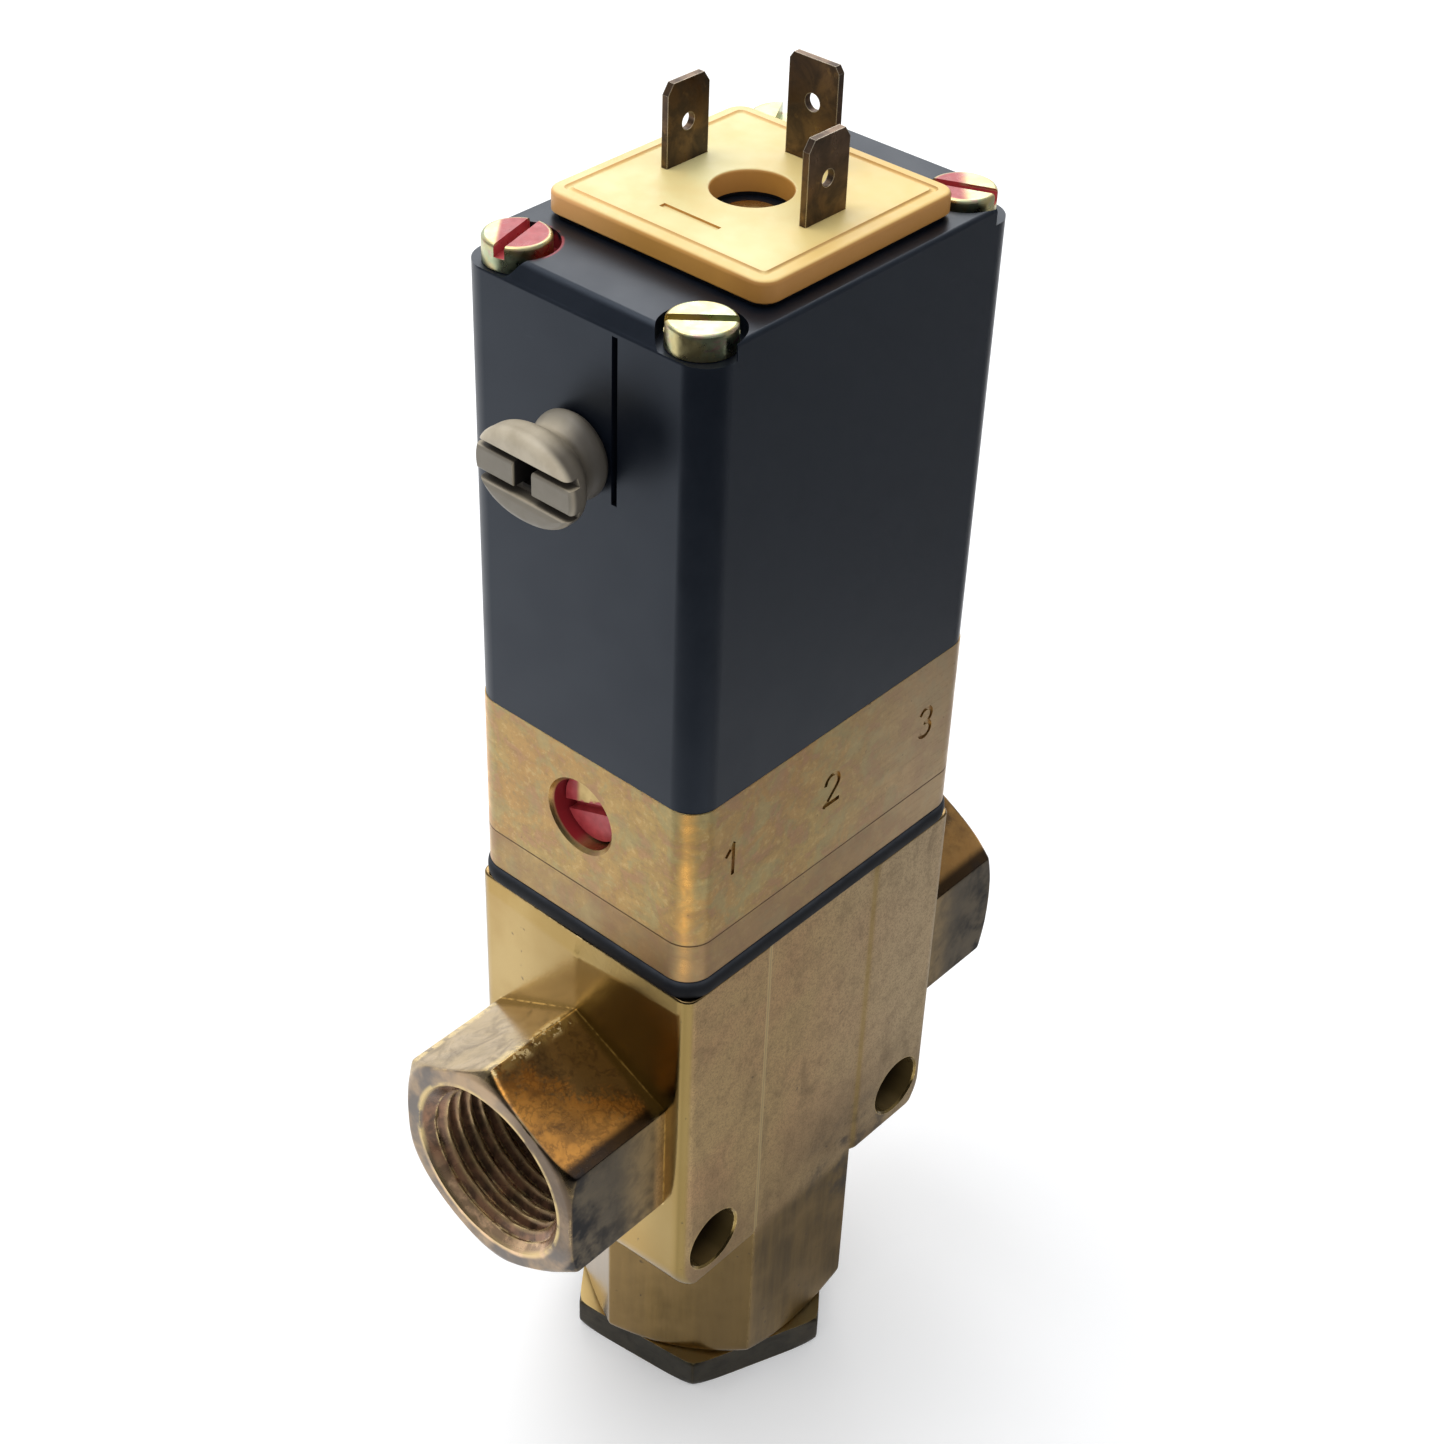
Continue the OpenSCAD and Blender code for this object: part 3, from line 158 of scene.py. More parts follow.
class Finish:
    """A material being built: each method adds a node and returns an output socket."""

    def __init__(self, name):
        self.material = bpy.data.materials.new(name)
        self.material.use_nodes = True
        self.tree = self.material.node_tree
        self.tree.nodes.clear()
        self.coordinates = self.node("ShaderNodeTexCoord")
        self.place = self.mapped((1, 1, 1))

    def node(self, kind, inputs=None, **settings):
        made = self.tree.nodes.new(kind)
        for key, value in settings.items():
            setattr(made, key, value)
        for key, value in (inputs or {}).items():
            self.wire(value, made.inputs[key])
        return made

    def wire(self, value, socket):
        if isinstance(value, bpy.types.NodeSocket):
            self.tree.links.new(value, socket)
        else:
            socket.default_value = value

    def mapped(self, stretch):
        scale = [s / MM for s in stretch]
        return self.node("ShaderNodeMapping", {"Vector": self.coordinates.outputs["Object"],
                                               "Scale": scale}).outputs["Vector"]

    def noise(self, scale, detail=5.0, roughness=0.55, distortion=0.0, place=None):
        made = self.node("ShaderNodeTexNoise", {
            "Vector": place or self.place, "Scale": scale, "Detail": detail,
            "Roughness": roughness, "Distortion": distortion})
        return made.outputs["Fac"]

    def band(self, value, low, high, out_low=0.0, out_high=1.0):
        """A smooth step from out_low to out_high while value goes from low to high."""
        made = self.node("ShaderNodeMapRange", {
            "Value": value, "From Min": low, "From Max": high, "To Min": out_low,
            "To Max": out_high}, interpolation_type="SMOOTHSTEP")
        return made.outputs["Result"]

    def joined(self, operation, first, *others):
        """Several sockets or numbers worked into one, from left to right."""
        for other in others:
            first = self.node("ShaderNodeMath", {0: first, 1: other}, operation=operation).outputs[0]
        return first

    def plus(self, *values):
        return self.joined("ADD", *values)

    def minus(self, *values):
        return self.joined("SUBTRACT", *values)

    def times(self, *values):
        return self.joined("MULTIPLY", *values)

    def most(self, *values):
        return self.joined("MAXIMUM", *values)

    def size(self, value):
        """The value without its sign."""
        return self.joined("ABSOLUTE", value, 0.0)

    def mix(self, share, a, b):
        made = self.node("ShaderNodeMix", data_type="RGBA")
        for key, value in ((0, share), (6, a), (7, b)):
            self.wire(value if isinstance(value, (float, bpy.types.NodeSocket)) else (*value, 1.0),
                      made.inputs[key])
        return made.outputs[2]

    def over(self, colour, tone, *shares):
        """A tone laid over a colour, as far as the product of the shares says."""
        return self.mix(self.times(*shares), colour, tone)

    def axes(self, vector):
        return self.node("ShaderNodeSeparateXYZ", {0: vector}).outputs

    def facing(self):
        """The three parts of the surface normal."""
        return self.axes(self.coordinates.outputs["Normal"])

    def hollow(self, reach, shallow):
        """One deep in hollows: a smooth step on the share of open sky within the reach."""
        sky = self.node("ShaderNodeAmbientOcclusion", {"Distance": reach * MM}, samples=8).outputs["AO"]
        return self.band(sky, shallow, DEEP)

    def bump(self, height, strength, distance):
        return self.node("ShaderNodeBump", {"Height": height, "Strength": strength,
                                            "Distance": distance * MM}).outputs["Normal"]

    def worn_edge(self, radius):
        """One where a ball of this radius, rolled over the surface, would bridge an edge."""
        soft = self.node("ShaderNodeBevel", {"Radius": radius * MM}, samples=6).outputs["Normal"]
        plain = self.node("ShaderNodeNewGeometry").outputs["Normal"]
        agreement = self.node("ShaderNodeVectorMath", {0: soft, 1: plain},
                              operation="DOT_PRODUCT").outputs["Value"]
        return self.band(agreement, 0.99, 0.90)

    def done(self, **sockets):
        shader = self.node("ShaderNodeBsdfPrincipled")
        for key, value in sockets.items():
            name = key.replace("_", " ").title().replace("Ior", "IOR")
            colour = isinstance(value, tuple) and len(value) == 3
            self.wire((*value, 1.0) if colour else value, shader.inputs[name])
        out = self.node("ShaderNodeOutputMaterial")
        self.tree.links.new(shader.outputs[0], out.inputs["Surface"])
        return self.material


print("finish helper ready")

# %% Floor and cards
FLOOR_HALF, FLOOR_GLOW = 3.0, 0.22
SHEET_WHITE, SHEET_BRIGHT, WHITE = (0.86, 0.87, 0.89), (0.885, 0.895, 0.91), (1.0, 1.0, 1.0)


def plain_mesh(name, vertices, faces):
    """A mesh object from arrays of points in metres and faces."""
    mesh = bpy.data.meshes.new(name)
    mesh.from_pydata(vertices, [], faces)
    made = bpy.data.objects.new(name, mesh)
    scene.collection.objects.link(made)
    return made


def seen_or_mirrored(tree):
    """One for rays from the camera, from a mirror or through glass, and zero for the rest."""
    path = tree.nodes.new("ShaderNodeLightPath")
    share = path.outputs["Is Camera Ray"]
    for ray in ("Is Glossy Ray", "Is Transmission Ray"):
        either = tree.nodes.new("ShaderNodeMath")
        either.operation = "MAXIMUM"
        tree.links.new(share, either.inputs[0])
        tree.links.new(path.outputs[ray], either.inputs[1])
        share = either.outputs[0]
    return share


corners = np.array([[-1, -1, 0], [1, -1, 0], [1, 1, 0], [-1, 1, 0]]) * FLOOR_HALF
floor = plain_mesh("white_floor", corners, [[0, 1, 2, 3]])
sheet = Finish("white_sheet")
glow = sheet.band(seen_or_mirrored(sheet.tree), 0.0, 1.0, 0.0, FLOOR_GLOW)
floor.data.materials.append(sheet.done(
    base_color=sheet.mix(sheet.noise(0.02, 3), SHEET_WHITE, SHEET_BRIGHT), roughness=0.75,
    emission_color=WHITE, emission_strength=glow))


def curved_card(name, first, last, start, end):
    """A strip bent round the Z axis, between azimuths in degrees: each corner pair gives the radius
    and height of one long edge."""
    a = np.radians(np.linspace(first, last, 48))
    round_axis = np.stack([np.cos(a), np.sin(a), np.zeros_like(a)], 1)
    points = np.concatenate([round_axis * radius + [0, 0, height] for radius, height in (start, end)])
    k = np.arange(len(a) - 1)
    faces = np.stack([k, k + 1, k + 1 + len(a), k + len(a)], 1)
    return plain_mesh(name, points, faces.tolist())


CARD_R, CARD_H = 0.158, 0.20
CARDS = {
    "near_card": (curved_card("near_card", 155, 284, (CARD_R, 0.0), (CARD_R, CARD_H)), 0.03),
    "side_card": (curved_card("side_card", 284, 350, (CARD_R, 0.0), (CARD_R, CARD_H)), 0.30),
    "room_card": (curved_card("room_card", 100, 345, (0.90, 0.10), (0.90, 1.70)), 0.28),
    # A painted shadow: a grey sheet on the floor in front, seen in mirrors only, darkens what the front
    # faces mirror.
    "floor_shadow_sheet": (curved_card("floor_shadow_sheet", -85, -5, (0.022, 0.0004), (0.40, 0.0004)), 0.55),
}
for name, (card, shade) in CARDS.items():
    cloth = Finish(name + "_cloth")
    card.data.materials.append(cloth.done(
        base_color=cloth.mix(cloth.noise(0.05), (shade,) * 3, (shade * 1.2,) * 3), roughness=0.9))
    for ray in ("camera", "diffuse", "shadow", "transmission"):
        setattr(card, "visible_" + ray, False)
print("floor and", len(CARDS), "cards")

# %% Sky and lamps
SKY_LIGHT = 0.74
world = bpy.data.worlds.new("white_room")
world.use_nodes = True
scene.world = world
room = world.node_tree
room.nodes.clear()
strength = room.nodes.new("ShaderNodeMapRange")
strength.inputs["To Min"].default_value = SKY_LIGHT
room.links.new(seen_or_mirrored(room), strength.inputs["Value"])
sky = room.nodes.new("ShaderNodeBackground")
sky.inputs["Color"].default_value = (*WHITE, 1.0)
room.links.new(strength.outputs[0], sky.inputs["Strength"])
room.links.new(sky.outputs[0], room.nodes.new("ShaderNodeOutputWorld").inputs["Surface"])

LAMPS = {
    "key_softbox": ((-0.22, 0.38, 1.20), 0.90, 5.0),
    "back_softbox": ((0.55, 0.47, 0.75), 0.55, 2.0),
}
aim = (np.array(cad_box[0]) + np.array(cad_box[1])) / 2
for name, (where, wide, watts) in LAMPS.items():
    lamp = bpy.data.lights.new(name, "AREA")
    lamp.shape = "DISK"
    lamp.size = wide
    lamp.energy = watts
    holder = bpy.data.objects.new(name, lamp)
    holder.location = where
    holder.rotation_mode = "QUATERNION"
    holder.rotation_quaternion = (holder.location - Vector(aim)).to_track_quat("Z", "Y")
    scene.collection.objects.link(holder)
print("sky and", len(LAMPS), "lamps")

# %% [markdown]
# ## Surfaces from arrays
# A piece is a stack of rings: each ring is an outline, and quads join each ring to the next. Holes are
# cut with a boolean, because a drilled hole in a forging is a cut in real life too. Flat faces keep
# straight shading through weighted normals, and edges sharper than 35 degrees stay crisp.

# %% Outlines


def softened(points, trims, steps=7):
    """A closed outline with rounded corners: corner P becomes (1-s)^2 A + 2 s (1-s) P + s^2 B, where
    A and B lie one trim before and after P on its two sides."""
    points = np.asarray(points, float)
    trims = np.asarray(trims, float)[:, None]
    before = np.roll(points, 1, 0) - points
    after = np.roll(points, -1, 0) - points
    start = points + trims * before / np.linalg.norm(before, axis=1, keepdims=True)
    end = points + trims * after / np.linalg.norm(after, axis=1, keepdims=True)
    s = np.linspace(0, 1, steps)[None, :, None]
    bent = (1 - s) ** 2 * start[:, None] + 2 * s * (1 - s) * points[:, None] + s ** 2 * end[:, None]
    return bent.reshape(-1, 2)


def rounded_rectangle(half_x, half_y, radius, steps=12):
    """Four quarter circles: each corner's centre plus radius times (cos a, sin a)."""
    a = np.radians(np.linspace(0, 90, steps)[None] + 90 * np.arange(4)[:, None])
    centre_x = (half_x - radius) * np.array([1, -1, -1, 1])[:, None]
    centre_y = (half_y - radius) * np.array([1, 1, -1, -1])[:, None]
    return np.stack([centre_x + radius * np.cos(a), centre_y + radius * np.sin(a)], -1).reshape(-1, 2)


def shrunk(outline, inset):
    """The outline moved inwards along its own normals."""
    along = np.roll(outline, -1, 0) - np.roll(outline, 1, 0)
    normal = np.stack([along[:, 1], -along[:, 0]], -1)
    return outline - inset * normal / np.linalg.norm(normal, axis=1, keepdims=True)


def at_level(outline, z):
    """The outline as a ring of points at one height."""
    return np.c_[outline, np.full(len(outline), z)]


def rounded_ends(low, high, low_round, high_round, steps=7):
    """Levels and insets that round both ends of a prism: at angle a of a quarter circle of radius r
    the level lies r (1 - cos a) from the end and the wall r (1 - sin a) inside."""
    a = np.linspace(0, np.pi / 2, steps)
    levels = [low + low_round * (1 - np.cos(a)), high - high_round * (1 - np.cos(a[::-1]))]
    insets = [low_round * (1 - np.sin(a)), high_round * (1 - np.sin(a[::-1]))]
    return np.concatenate(levels), np.concatenate(insets)


print("outline helpers ready")

# %% Lofts


def loft(name, rings, joined=False):
    """Quads between neighbouring rings of points; the ends are capped, or joined to each other."""
    rows, columns = rings.shape[:2]
    index = np.arange(rows * columns).reshape(rows, columns)
    upper = np.roll(index, -1, 0) if joined else index[1:]
    lower = index if joined else index[:-1]
    quads = np.stack([lower, np.roll(lower, -1, 1), np.roll(upper, -1, 1), upper], -1)
    faces = quads.reshape(-1, 4).tolist()
    if not joined:
        faces += [index[0, ::-1].tolist(), index[-1].tolist()]
    made = plain_mesh(name, rings.reshape(-1, 3) * MM, faces)
    shell = bmesh.new()
    shell.from_mesh(made.data)
    if shell.calc_volume(signed=True) < 0:
        bmesh.ops.reverse_faces(shell, faces=shell.faces)
        shell.to_mesh(made.data)
    shell.free()
    return made


def prism(name, outline, low, high, low_round=0.0, high_round=0.0):
    """One outline carried up from low to high, with both end edges rounded."""
    levels, insets = rounded_ends(low, high, low_round, high_round)
    if low_round == high_round == 0.0:
        levels, insets = np.array([low, high]), np.zeros(2)
    return loft(name, np.array([at_level(shrunk(outline, d), z) for z, d in zip(levels, insets)]))


def bar(name, low, high):
    """A plain box between two corners, for cutting slots and rooms."""
    outline = np.array([low[:2], (high[0], low[1]), high[:2], (low[0], high[1])], float)
    return prism(name, outline, low[2], high[2])


def turned(name, axis, centre, places, radii, columns=72, angles=None):
    """A profile carried round an axis: at place p and angle a the point is
    centre + p w + r(p, a) (cos a u + sin a v), where w is the axis and u and v are square to it. The
    angles are evenly spread unless they are given."""
    a = np.linspace(0, 2 * np.pi, columns, endpoint=False) if angles is None else angles
    w, u, v = np.eye(3)[[axis, (axis + 1) % 3, (axis + 2) % 3]]
    radii = np.broadcast_to(np.asarray(radii, float).reshape(len(places), -1), (len(places), len(a)))
    spoke = np.cos(a)[:, None] * u + np.sin(a)[:, None] * v
    rings = np.asarray(places, float)[:, None, None] * w + radii[:, :, None] * spoke
    return loft(name, rings + np.asarray(centre, float))


print("loft helpers ready")

# %% Cuts and seats
CRISP = math.radians(35)


def carve(piece, *tools, operation="DIFFERENCE"):
    """Cuts the tools out of the piece, or joins them to it, and removes the tools."""
    for tool in tools:
        step = piece.modifiers.new(tool.name, "BOOLEAN")
        step.operation = operation
        step.solver = "MANIFOLD"
        step.object = tool
    shaped = piece.evaluated_get(bpy.context.evaluated_depsgraph_get())
    worked = bpy.data.meshes.new_from_object(shaped)
    piece.modifiers.clear()
    piece.data = worked
    for tool in tools:
        bpy.data.objects.remove(tool)
    return piece


def settle(piece, body, slot, *nodes):
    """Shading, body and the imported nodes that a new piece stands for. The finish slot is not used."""
    piece.data.shade_smooth()
    piece.data.set_sharp_from_angle(angle=CRISP)
    even = piece.modifiers.new("even_shading", "WEIGHTED_NORMAL")
    even.keep_sharp = True
    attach(piece, body)
    if nodes:
        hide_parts(*nodes)
    print(piece.name, len(piece.data.polygons), "faces")
    return piece


def drill(axis, centre, low, high, radius, columns=24):
    """A straight round cutter along an axis between two places."""
    return turned("drill", axis, centre, [low, high], [radius, radius], columns)


def tie_holes(low, high, radius):
    """Four straight cutters where the tie screws pass."""
    return [drill(2, (sx * tie_x, sy * tie_y, 0), low, high, radius, 40)
            for sx in (-1, 1) for sy in (-1, 1)]


print("cutting helpers ready")

# %% [markdown]
# ## The forged body
# The body was forged in two dies that met along the end faces, so each end has a faint ridge where the
# dies joined. The front and back are sunk a little along a broad strip in the middle, and the ears are
# rounded below. The outline is carried upwards, and near the foot its ends are drawn in along a quarter
# circle to round the ears. A hexagon neck and two hexagon ports are joined to it, and the ports are
# tapped with a half inch pipe thread. The hexagon's polar radius uses a p-norm, which rounds the
# corners a little, as a worn spanner flat is.

# %% Outline of the body
RIDGE_OUT, END_TAPER = 0.9, 0.1
STRIP_WIDTH, STRIP_SLOPE, STRIP_SUNK = 18.0, 0.9, 0.4
RIDGE_SOFT, EDGE_SOFT_RUN, STRIP_SOFT = 0.5, 1.8, 0.3
half_len, half_wid = pilot_high[:2]
ridge_x = half_len + RIDGE_OUT


def mirrored_outline(quarter, trims):
    """A quarter outline repeated in all four quarters, anticlockwise, with its corners softened."""
    q, t = np.array(quarter), np.array(trims)
    inner, inner_t = q[1:], t[1:]
    points = np.concatenate([q, inner[::-1] * [-1, 1], q[:1] * [-1, 1], inner * [-1, -1],
                             inner[::-1] * [1, -1]])
    return softened(points, np.concatenate([t, inner_t[::-1], t[:1], inner_t, inner_t[::-1]]))


body_outline = mirrored_outline(
    [(ridge_x, 0), (half_len - END_TAPER, half_wid), (STRIP_WIDTH / 2 + STRIP_SLOPE, half_wid),
     (STRIP_WIDTH / 2, half_wid - STRIP_SUNK)], [RIDGE_SOFT, EDGE_SOFT_RUN, STRIP_SOFT, STRIP_SOFT])
print("body outline of", len(body_outline), "points")

# %% Block of the body
EAR_ROUND, EAR_FOOT, EAR_STEADY = 4.5, 30.0, 1.5
FOOT_ROUND, TOP_ROUND = 1.0, 0.25
RIDGE_RUN, RIDGE_LEFT = 2.6, 0.15
z_top = body_high[2]


def ear_squeeze(outline, height):
    """Draws both ends in: at height h above the foot an end lies at R - r + sqrt(r^2 - (r - h)^2)."""
    h = np.clip(height, 0, EAR_ROUND)
    reach = ridge_x - EAR_ROUND + math.sqrt(max(EAR_ROUND ** 2 - (EAR_ROUND - h) ** 2, 0))
    steady = ridge_x - EAR_ROUND - EAR_STEADY
    x = np.abs(outline[:, 0])
    drawn = np.where(x > steady, steady + (x - steady) * (reach - steady) / (ridge_x - steady), x)
    return np.c_[np.sign(outline[:, 0]) * drawn, outline[:, 1]]


def ridge_end(outline, height):
    """Lets the ridge die out over the last RIDGE_RUN below the top: there x stays inside half the
    block's length plus what is left of the ridge."""
    left = RIDGE_OUT * min(max((z_top - height) / RIDGE_RUN, RIDGE_LEFT), 1.0)
    limit = half_len + left
    return np.c_[np.clip(outline[:, 0], -limit, limit), outline[:, 1]]


foot_a = np.linspace(0, np.pi / 2, 8)
low_levels = EAR_FOOT + FOOT_ROUND * (1 - np.cos(foot_a))
low_insets = FOOT_ROUND * (1 - np.sin(foot_a))
ear_levels = EAR_FOOT + np.linspace(FOOT_ROUND, EAR_ROUND, 9)[1:]
top_levels, top_insets = rounded_ends(z_top - 2, z_top, 0, TOP_ROUND, 5)
levels = np.concatenate([low_levels, ear_levels, [z_top - RIDGE_RUN], top_levels[4:]])
insets = np.concatenate([low_insets, np.zeros(len(ear_levels) + 1), top_insets[4:]])
block_rings = [at_level(ridge_end(ear_squeeze(shrunk(body_outline, d), z - EAR_FOOT), z), z)
               for z, d in zip(levels, insets)]
forging = loft("valve_body_forging", np.array(block_rings))
print("block of", len(block_rings), "rings")

# %% Hexagons
COLUMNS = 168


def hexagon_angles(first_corner):
    """Angles that crowd towards the six corners: corner k plus 30 degrees times sign(u) |u|^1.8."""
    u = np.linspace(-1, 1, COLUMNS // 6, endpoint=False)
    bent = 30 * np.sign(u) * np.abs(u) ** 1.8
    return np.radians((first_corner + 60 * np.arange(6)[:, None] + bent[None]).ravel())


def hexagon_radius(angle, flats, first_corner, power=150):
    """Polar radius of a hexagon: half its width over the flats divided by the p-norm of
    |cos(a - flat k)| over its three pairs of flats."""
    flat = np.radians(first_corner + 30 + 60 * np.arange(3))
    spread = (np.abs(np.cos(angle[:, None] - flat)) ** power).sum(1) ** (1 / power)
    return flats / 2 / spread


def least(a, b, power=60):
    """A softened minimum of two radii: (a^-p + b^-p)^(-1/p)."""
    return (a ** -power + b ** -power) ** (-1 / power)


def hexagon_bar(name, axis, centre, flats, first_corner, places, cone):
    """A hexagon carried along an axis, trimmed by the cone radius given at each place."""
    a = hexagon_angles(first_corner)
    radius = least(hexagon_radius(a, flats, first_corner)[None], np.asarray(cone, float)[:, None])
    return turned(name, axis, centre, places, radius, angles=a)


print("hexagons of", COLUMNS, "columns")

# %% Pipe thread
PITCH, RIDGE_H = 1.814, 1.10
CREST_GAIN, ROOT_FLAT = 1.3, 0.12
MOUTH_CHAMFER, RUN_OUT = 0.9, 4.0
BORE_COLUMNS, ROWS_PER_TURN = 96, 12


def tapped_radius(depth, angle, run):
    """Radius of a tapped bore: the major radius less a ridge whose height is a clipped triangle wave
    of depth / pitch - a / 2 pi, faded out at the end of its run and cut by the mouth's chamfer."""
    phase = (depth[:, None] / PITCH - angle[None] / (2 * np.pi)) % 1
    ridge = np.clip(CREST_GAIN * (1 - np.abs(2 * phase - 1)) - ROOT_FLAT, 0, 1)
    fade = np.clip((run - depth[:, None]) / (2 * PITCH), 0, 1)
    return np.maximum(thread_r - RIDGE_H * ridge * fade, thread_r + MOUTH_CHAMFER - depth[:, None])


def tapped_bore(name, axis, centre, mouth, inward, depth):
    """A cutter for a tapped port: rows every twelfth of a pitch from just outside the mouth."""
    into = np.arange(-0.5, depth + 0.01, PITCH / ROWS_PER_TURN)
    angle = np.linspace(0, 2 * np.pi, BORE_COLUMNS, endpoint=False)
    radii = tapped_radius(into, angle, depth - RUN_OUT)
    return turned(name, axis, centre, mouth + inward * into, radii, BORE_COLUMNS)


print("thread of", PITCH, "mm pitch")

# %% Neck and ports
NECK_FLATS, NECK_CHAMFER = 2 * (half_wid - STRIP_SUNK), 3.0
NECK_TRIM, NECK_CONE = 0.4, 1.26
PORT_FLATS, PORT_RIM_R, PORT_CHAMFER, CONE_SLOPE = 27.0, 13.7, 1.8, 0.577
RIM_BREAK = [0.35, 0.12]
neck_foot = body_low[2]
neck_rise = np.concatenate([np.linspace(0, NECK_CHAMFER, 13), [8, 16, 22, EAR_FOOT + 2 - neck_foot]])
neck_trim = NECK_FLATS / 2 - NECK_TRIM + NECK_CONE * neck_rise
neck = hexagon_bar("neck", 2, (0, 0, 0), NECK_FLATS, 0, neck_foot + neck_rise, neck_trim)
ports = []
for side in (-1, 1):
    into = np.concatenate([np.linspace(0, PORT_CHAMFER, 13), [6, 12, port_x - half_len + 5]])
    trim = PORT_RIM_R + into / CONE_SLOPE
    trim[:2] -= RIM_BREAK
    ports.append(hexagon_bar("port", 0, (0, 0, port_z), PORT_FLATS, 90, side * (port_x - into), trim))
carve(forging, neck, *ports, operation="UNION")
print("neck and ports joined:", len(forging.data.polygons), "faces")

# %% Bores of the body
bush_low, bush_high = span("guide_bush")
clip_low, clip_high = span("bush_circlip")
disc_high = span("valve_disc")[1]
nose_low, nose_high = span("nose_o_ring")
ring_high = span("fitting_o_ring")[1]
SLIP = 0.03
SHANK_R, SHANK_TOP, NOSE_R = 12.5, 20.0, 10.0
SEAT_R, RIM_H, WEB_H = 6.0, 1.0, 3.0
SEAT_GAP, CHAMBER_GAP, BUSH_LEDGE = 0.05, 2.5, 0.7
web_foot = disc_high[2] + SEAT_GAP + RIM_H
web_top = web_foot + WEB_H
nose_top = fitting_high[2] - RIM_H
chamber_r = disc_high[0] + CHAMBER_GAP
ledge_r = bush_high[0] - BUSH_LEDGE
bush_r, clip_r, ring_r = bush_high[0] + SLIP, clip_high[0] + SLIP, ring_high[0] + SLIP
bore_profile = np.array([
    (ring_r, neck_foot - 1), (ring_r, ring_high[2]), (SHANK_R + SLIP, ring_high[2]),
    (SHANK_R + SLIP, SHANK_TOP), (NOSE_R + SLIP, SHANK_TOP), (NOSE_R + SLIP, nose_top),
    (chamber_r, nose_top), (chamber_r, web_foot), (SEAT_R, web_foot), (SEAT_R, web_top),
    (ledge_r, web_top), (ledge_r, bush_low[2]), (bush_r, bush_low[2]), (bush_r, clip_low[2]),
    (clip_r, clip_low[2]), (clip_r, clip_high[2]), (bush_r, clip_high[2]), (bush_r, z_top + 1)])
main_bore = turned("main_bore", 2, (0, 0, 0), bore_profile[:, 1], bore_profile[:, 0], 96)
print("main bore of", len(bore_profile), "steps")

# %% Cross holes, port bores and passages
SIDE_DEPTH, HOLE_LIP = 20.0, 0.25
PASS_R, DUCT_R, BREATHER_R = 3.6, 1.0, 0.9
DUCT_IN, PASS_SUNK, OUTLET_GAP, BREATHER_UP = 1.3, 0.8, 0.3, 1.6
SUPPLY_RUN, OUTLET_RUN, BREATHER_RUN = (-20, -11), (10, 20), (12, 18)
TIE_TAP_R, TIE_TAP_DEEP = 2.03, 17.0
lip_y = half_wid * np.array([-1, -1, -1, 1, 1, 1]) + np.array([-1, 0, HOLE_LIP, -HOLE_LIP, 0, 1])
lip_r = hole_r + np.array([1 + HOLE_LIP, HOLE_LIP, 0, 0, HOLE_LIP, 1 + HOLE_LIP])
holes = [turned("cross_hole", 1, (s * hole_x, 0, hole_z), lip_y, lip_r, 96) for s in (-1, 1)]
side_bores = [tapped_bore("side_bore", 0, (0, 0, port_z), s * port_x, -s, SIDE_DEPTH) for s in (-1, 1)]
duct_x = span("pilot_o_rings")[0][0] + DUCT_R + DUCT_IN
pass_z = web_top + PASS_R - PASS_SUNK
outlet_r = (web_foot - nose_top) / 2 - OUTLET_GAP
passages = [drill(0, (0, 0, pass_z), *SUPPLY_RUN, PASS_R, 48),
            drill(0, (0, 0, (web_foot + nose_top) / 2), *OUTLET_RUN, outlet_r, 48),
            drill(2, (duct_x, 0, 0), pass_z, z_top + 1, DUCT_R),
            drill(1, (0, 0, clip_high[2] + BREATHER_UP), *BREATHER_RUN, BREATHER_R)]
carve(forging, main_bore, *side_bores, *holes, *passages,
      *tie_holes(z_top - TIE_TAP_DEEP, z_top + 1, TIE_TAP_R))
settle(forging, "housing", "forged_brass", "valve_body")

# %% [markdown]
# ## The lower fitting
# A hexagon fitting is screwed up into the neck. Only its flange shows, with one corner to the front.
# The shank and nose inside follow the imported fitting, and its bore is tapped like the side ports.

# %% Lower fitting
FITTING_FLATS, FITTING_TURN, LOW_DEPTH = 32.0, 38.0, 14.0
NOSE_GROOVE, GROOVE_GAP, RIM_WALL = 1.6, 0.1, 1.2
seat_high = span("spring_seat")[1]
seat_clip_low, seat_clip_high = span("seat_circlip")
flange_places = np.array([0, 0.12, 0.3, 0.6, 1.0, neck_foot - 0.5, neck_foot - 0.2, neck_foot])
flange_trim = np.array([17.6, 18.0, 18.3, 18.8, 20, 20, 18.6, 18.2])
fitting = hexagon_bar("lower_fitting", 2, (0, 0, 0), FITTING_FLATS, FITTING_TURN, flange_places,
                      flange_trim)
groove_foot, groove_top = nose_low[2] - GROOVE_GAP, nose_high[2] + GROOVE_GAP
shank_profile = np.array([
    (SHANK_R, neck_foot - 1), (SHANK_R, SHANK_TOP), (NOSE_R, SHANK_TOP), (NOSE_R, groove_foot),
    (NOSE_R - NOSE_GROOVE, groove_foot), (NOSE_R - NOSE_GROOVE, groove_top), (NOSE_R, groove_top),
    (NOSE_R, nose_top), (SEAT_R + RIM_WALL, nose_top), (SEAT_R + RIM_WALL, fitting_high[2])])
shank = turned("shank", 2, (0, 0, 0), shank_profile[:, 1], shank_profile[:, 0], 96)
carve(fitting, shank, operation="UNION")
way_r, clip_way_r = seat_high[0] + SLIP, seat_clip_high[1] + SLIP
way_profile = np.array([
    (way_r, LOW_DEPTH - 1), (way_r, seat_clip_low[2]), (clip_way_r, seat_clip_low[2]),
    (clip_way_r, seat_clip_high[2]), (way_r, seat_clip_high[2]), (way_r, seat_high[2]),
    (SEAT_R, seat_high[2]), (SEAT_R, fitting_high[2] + 1)])
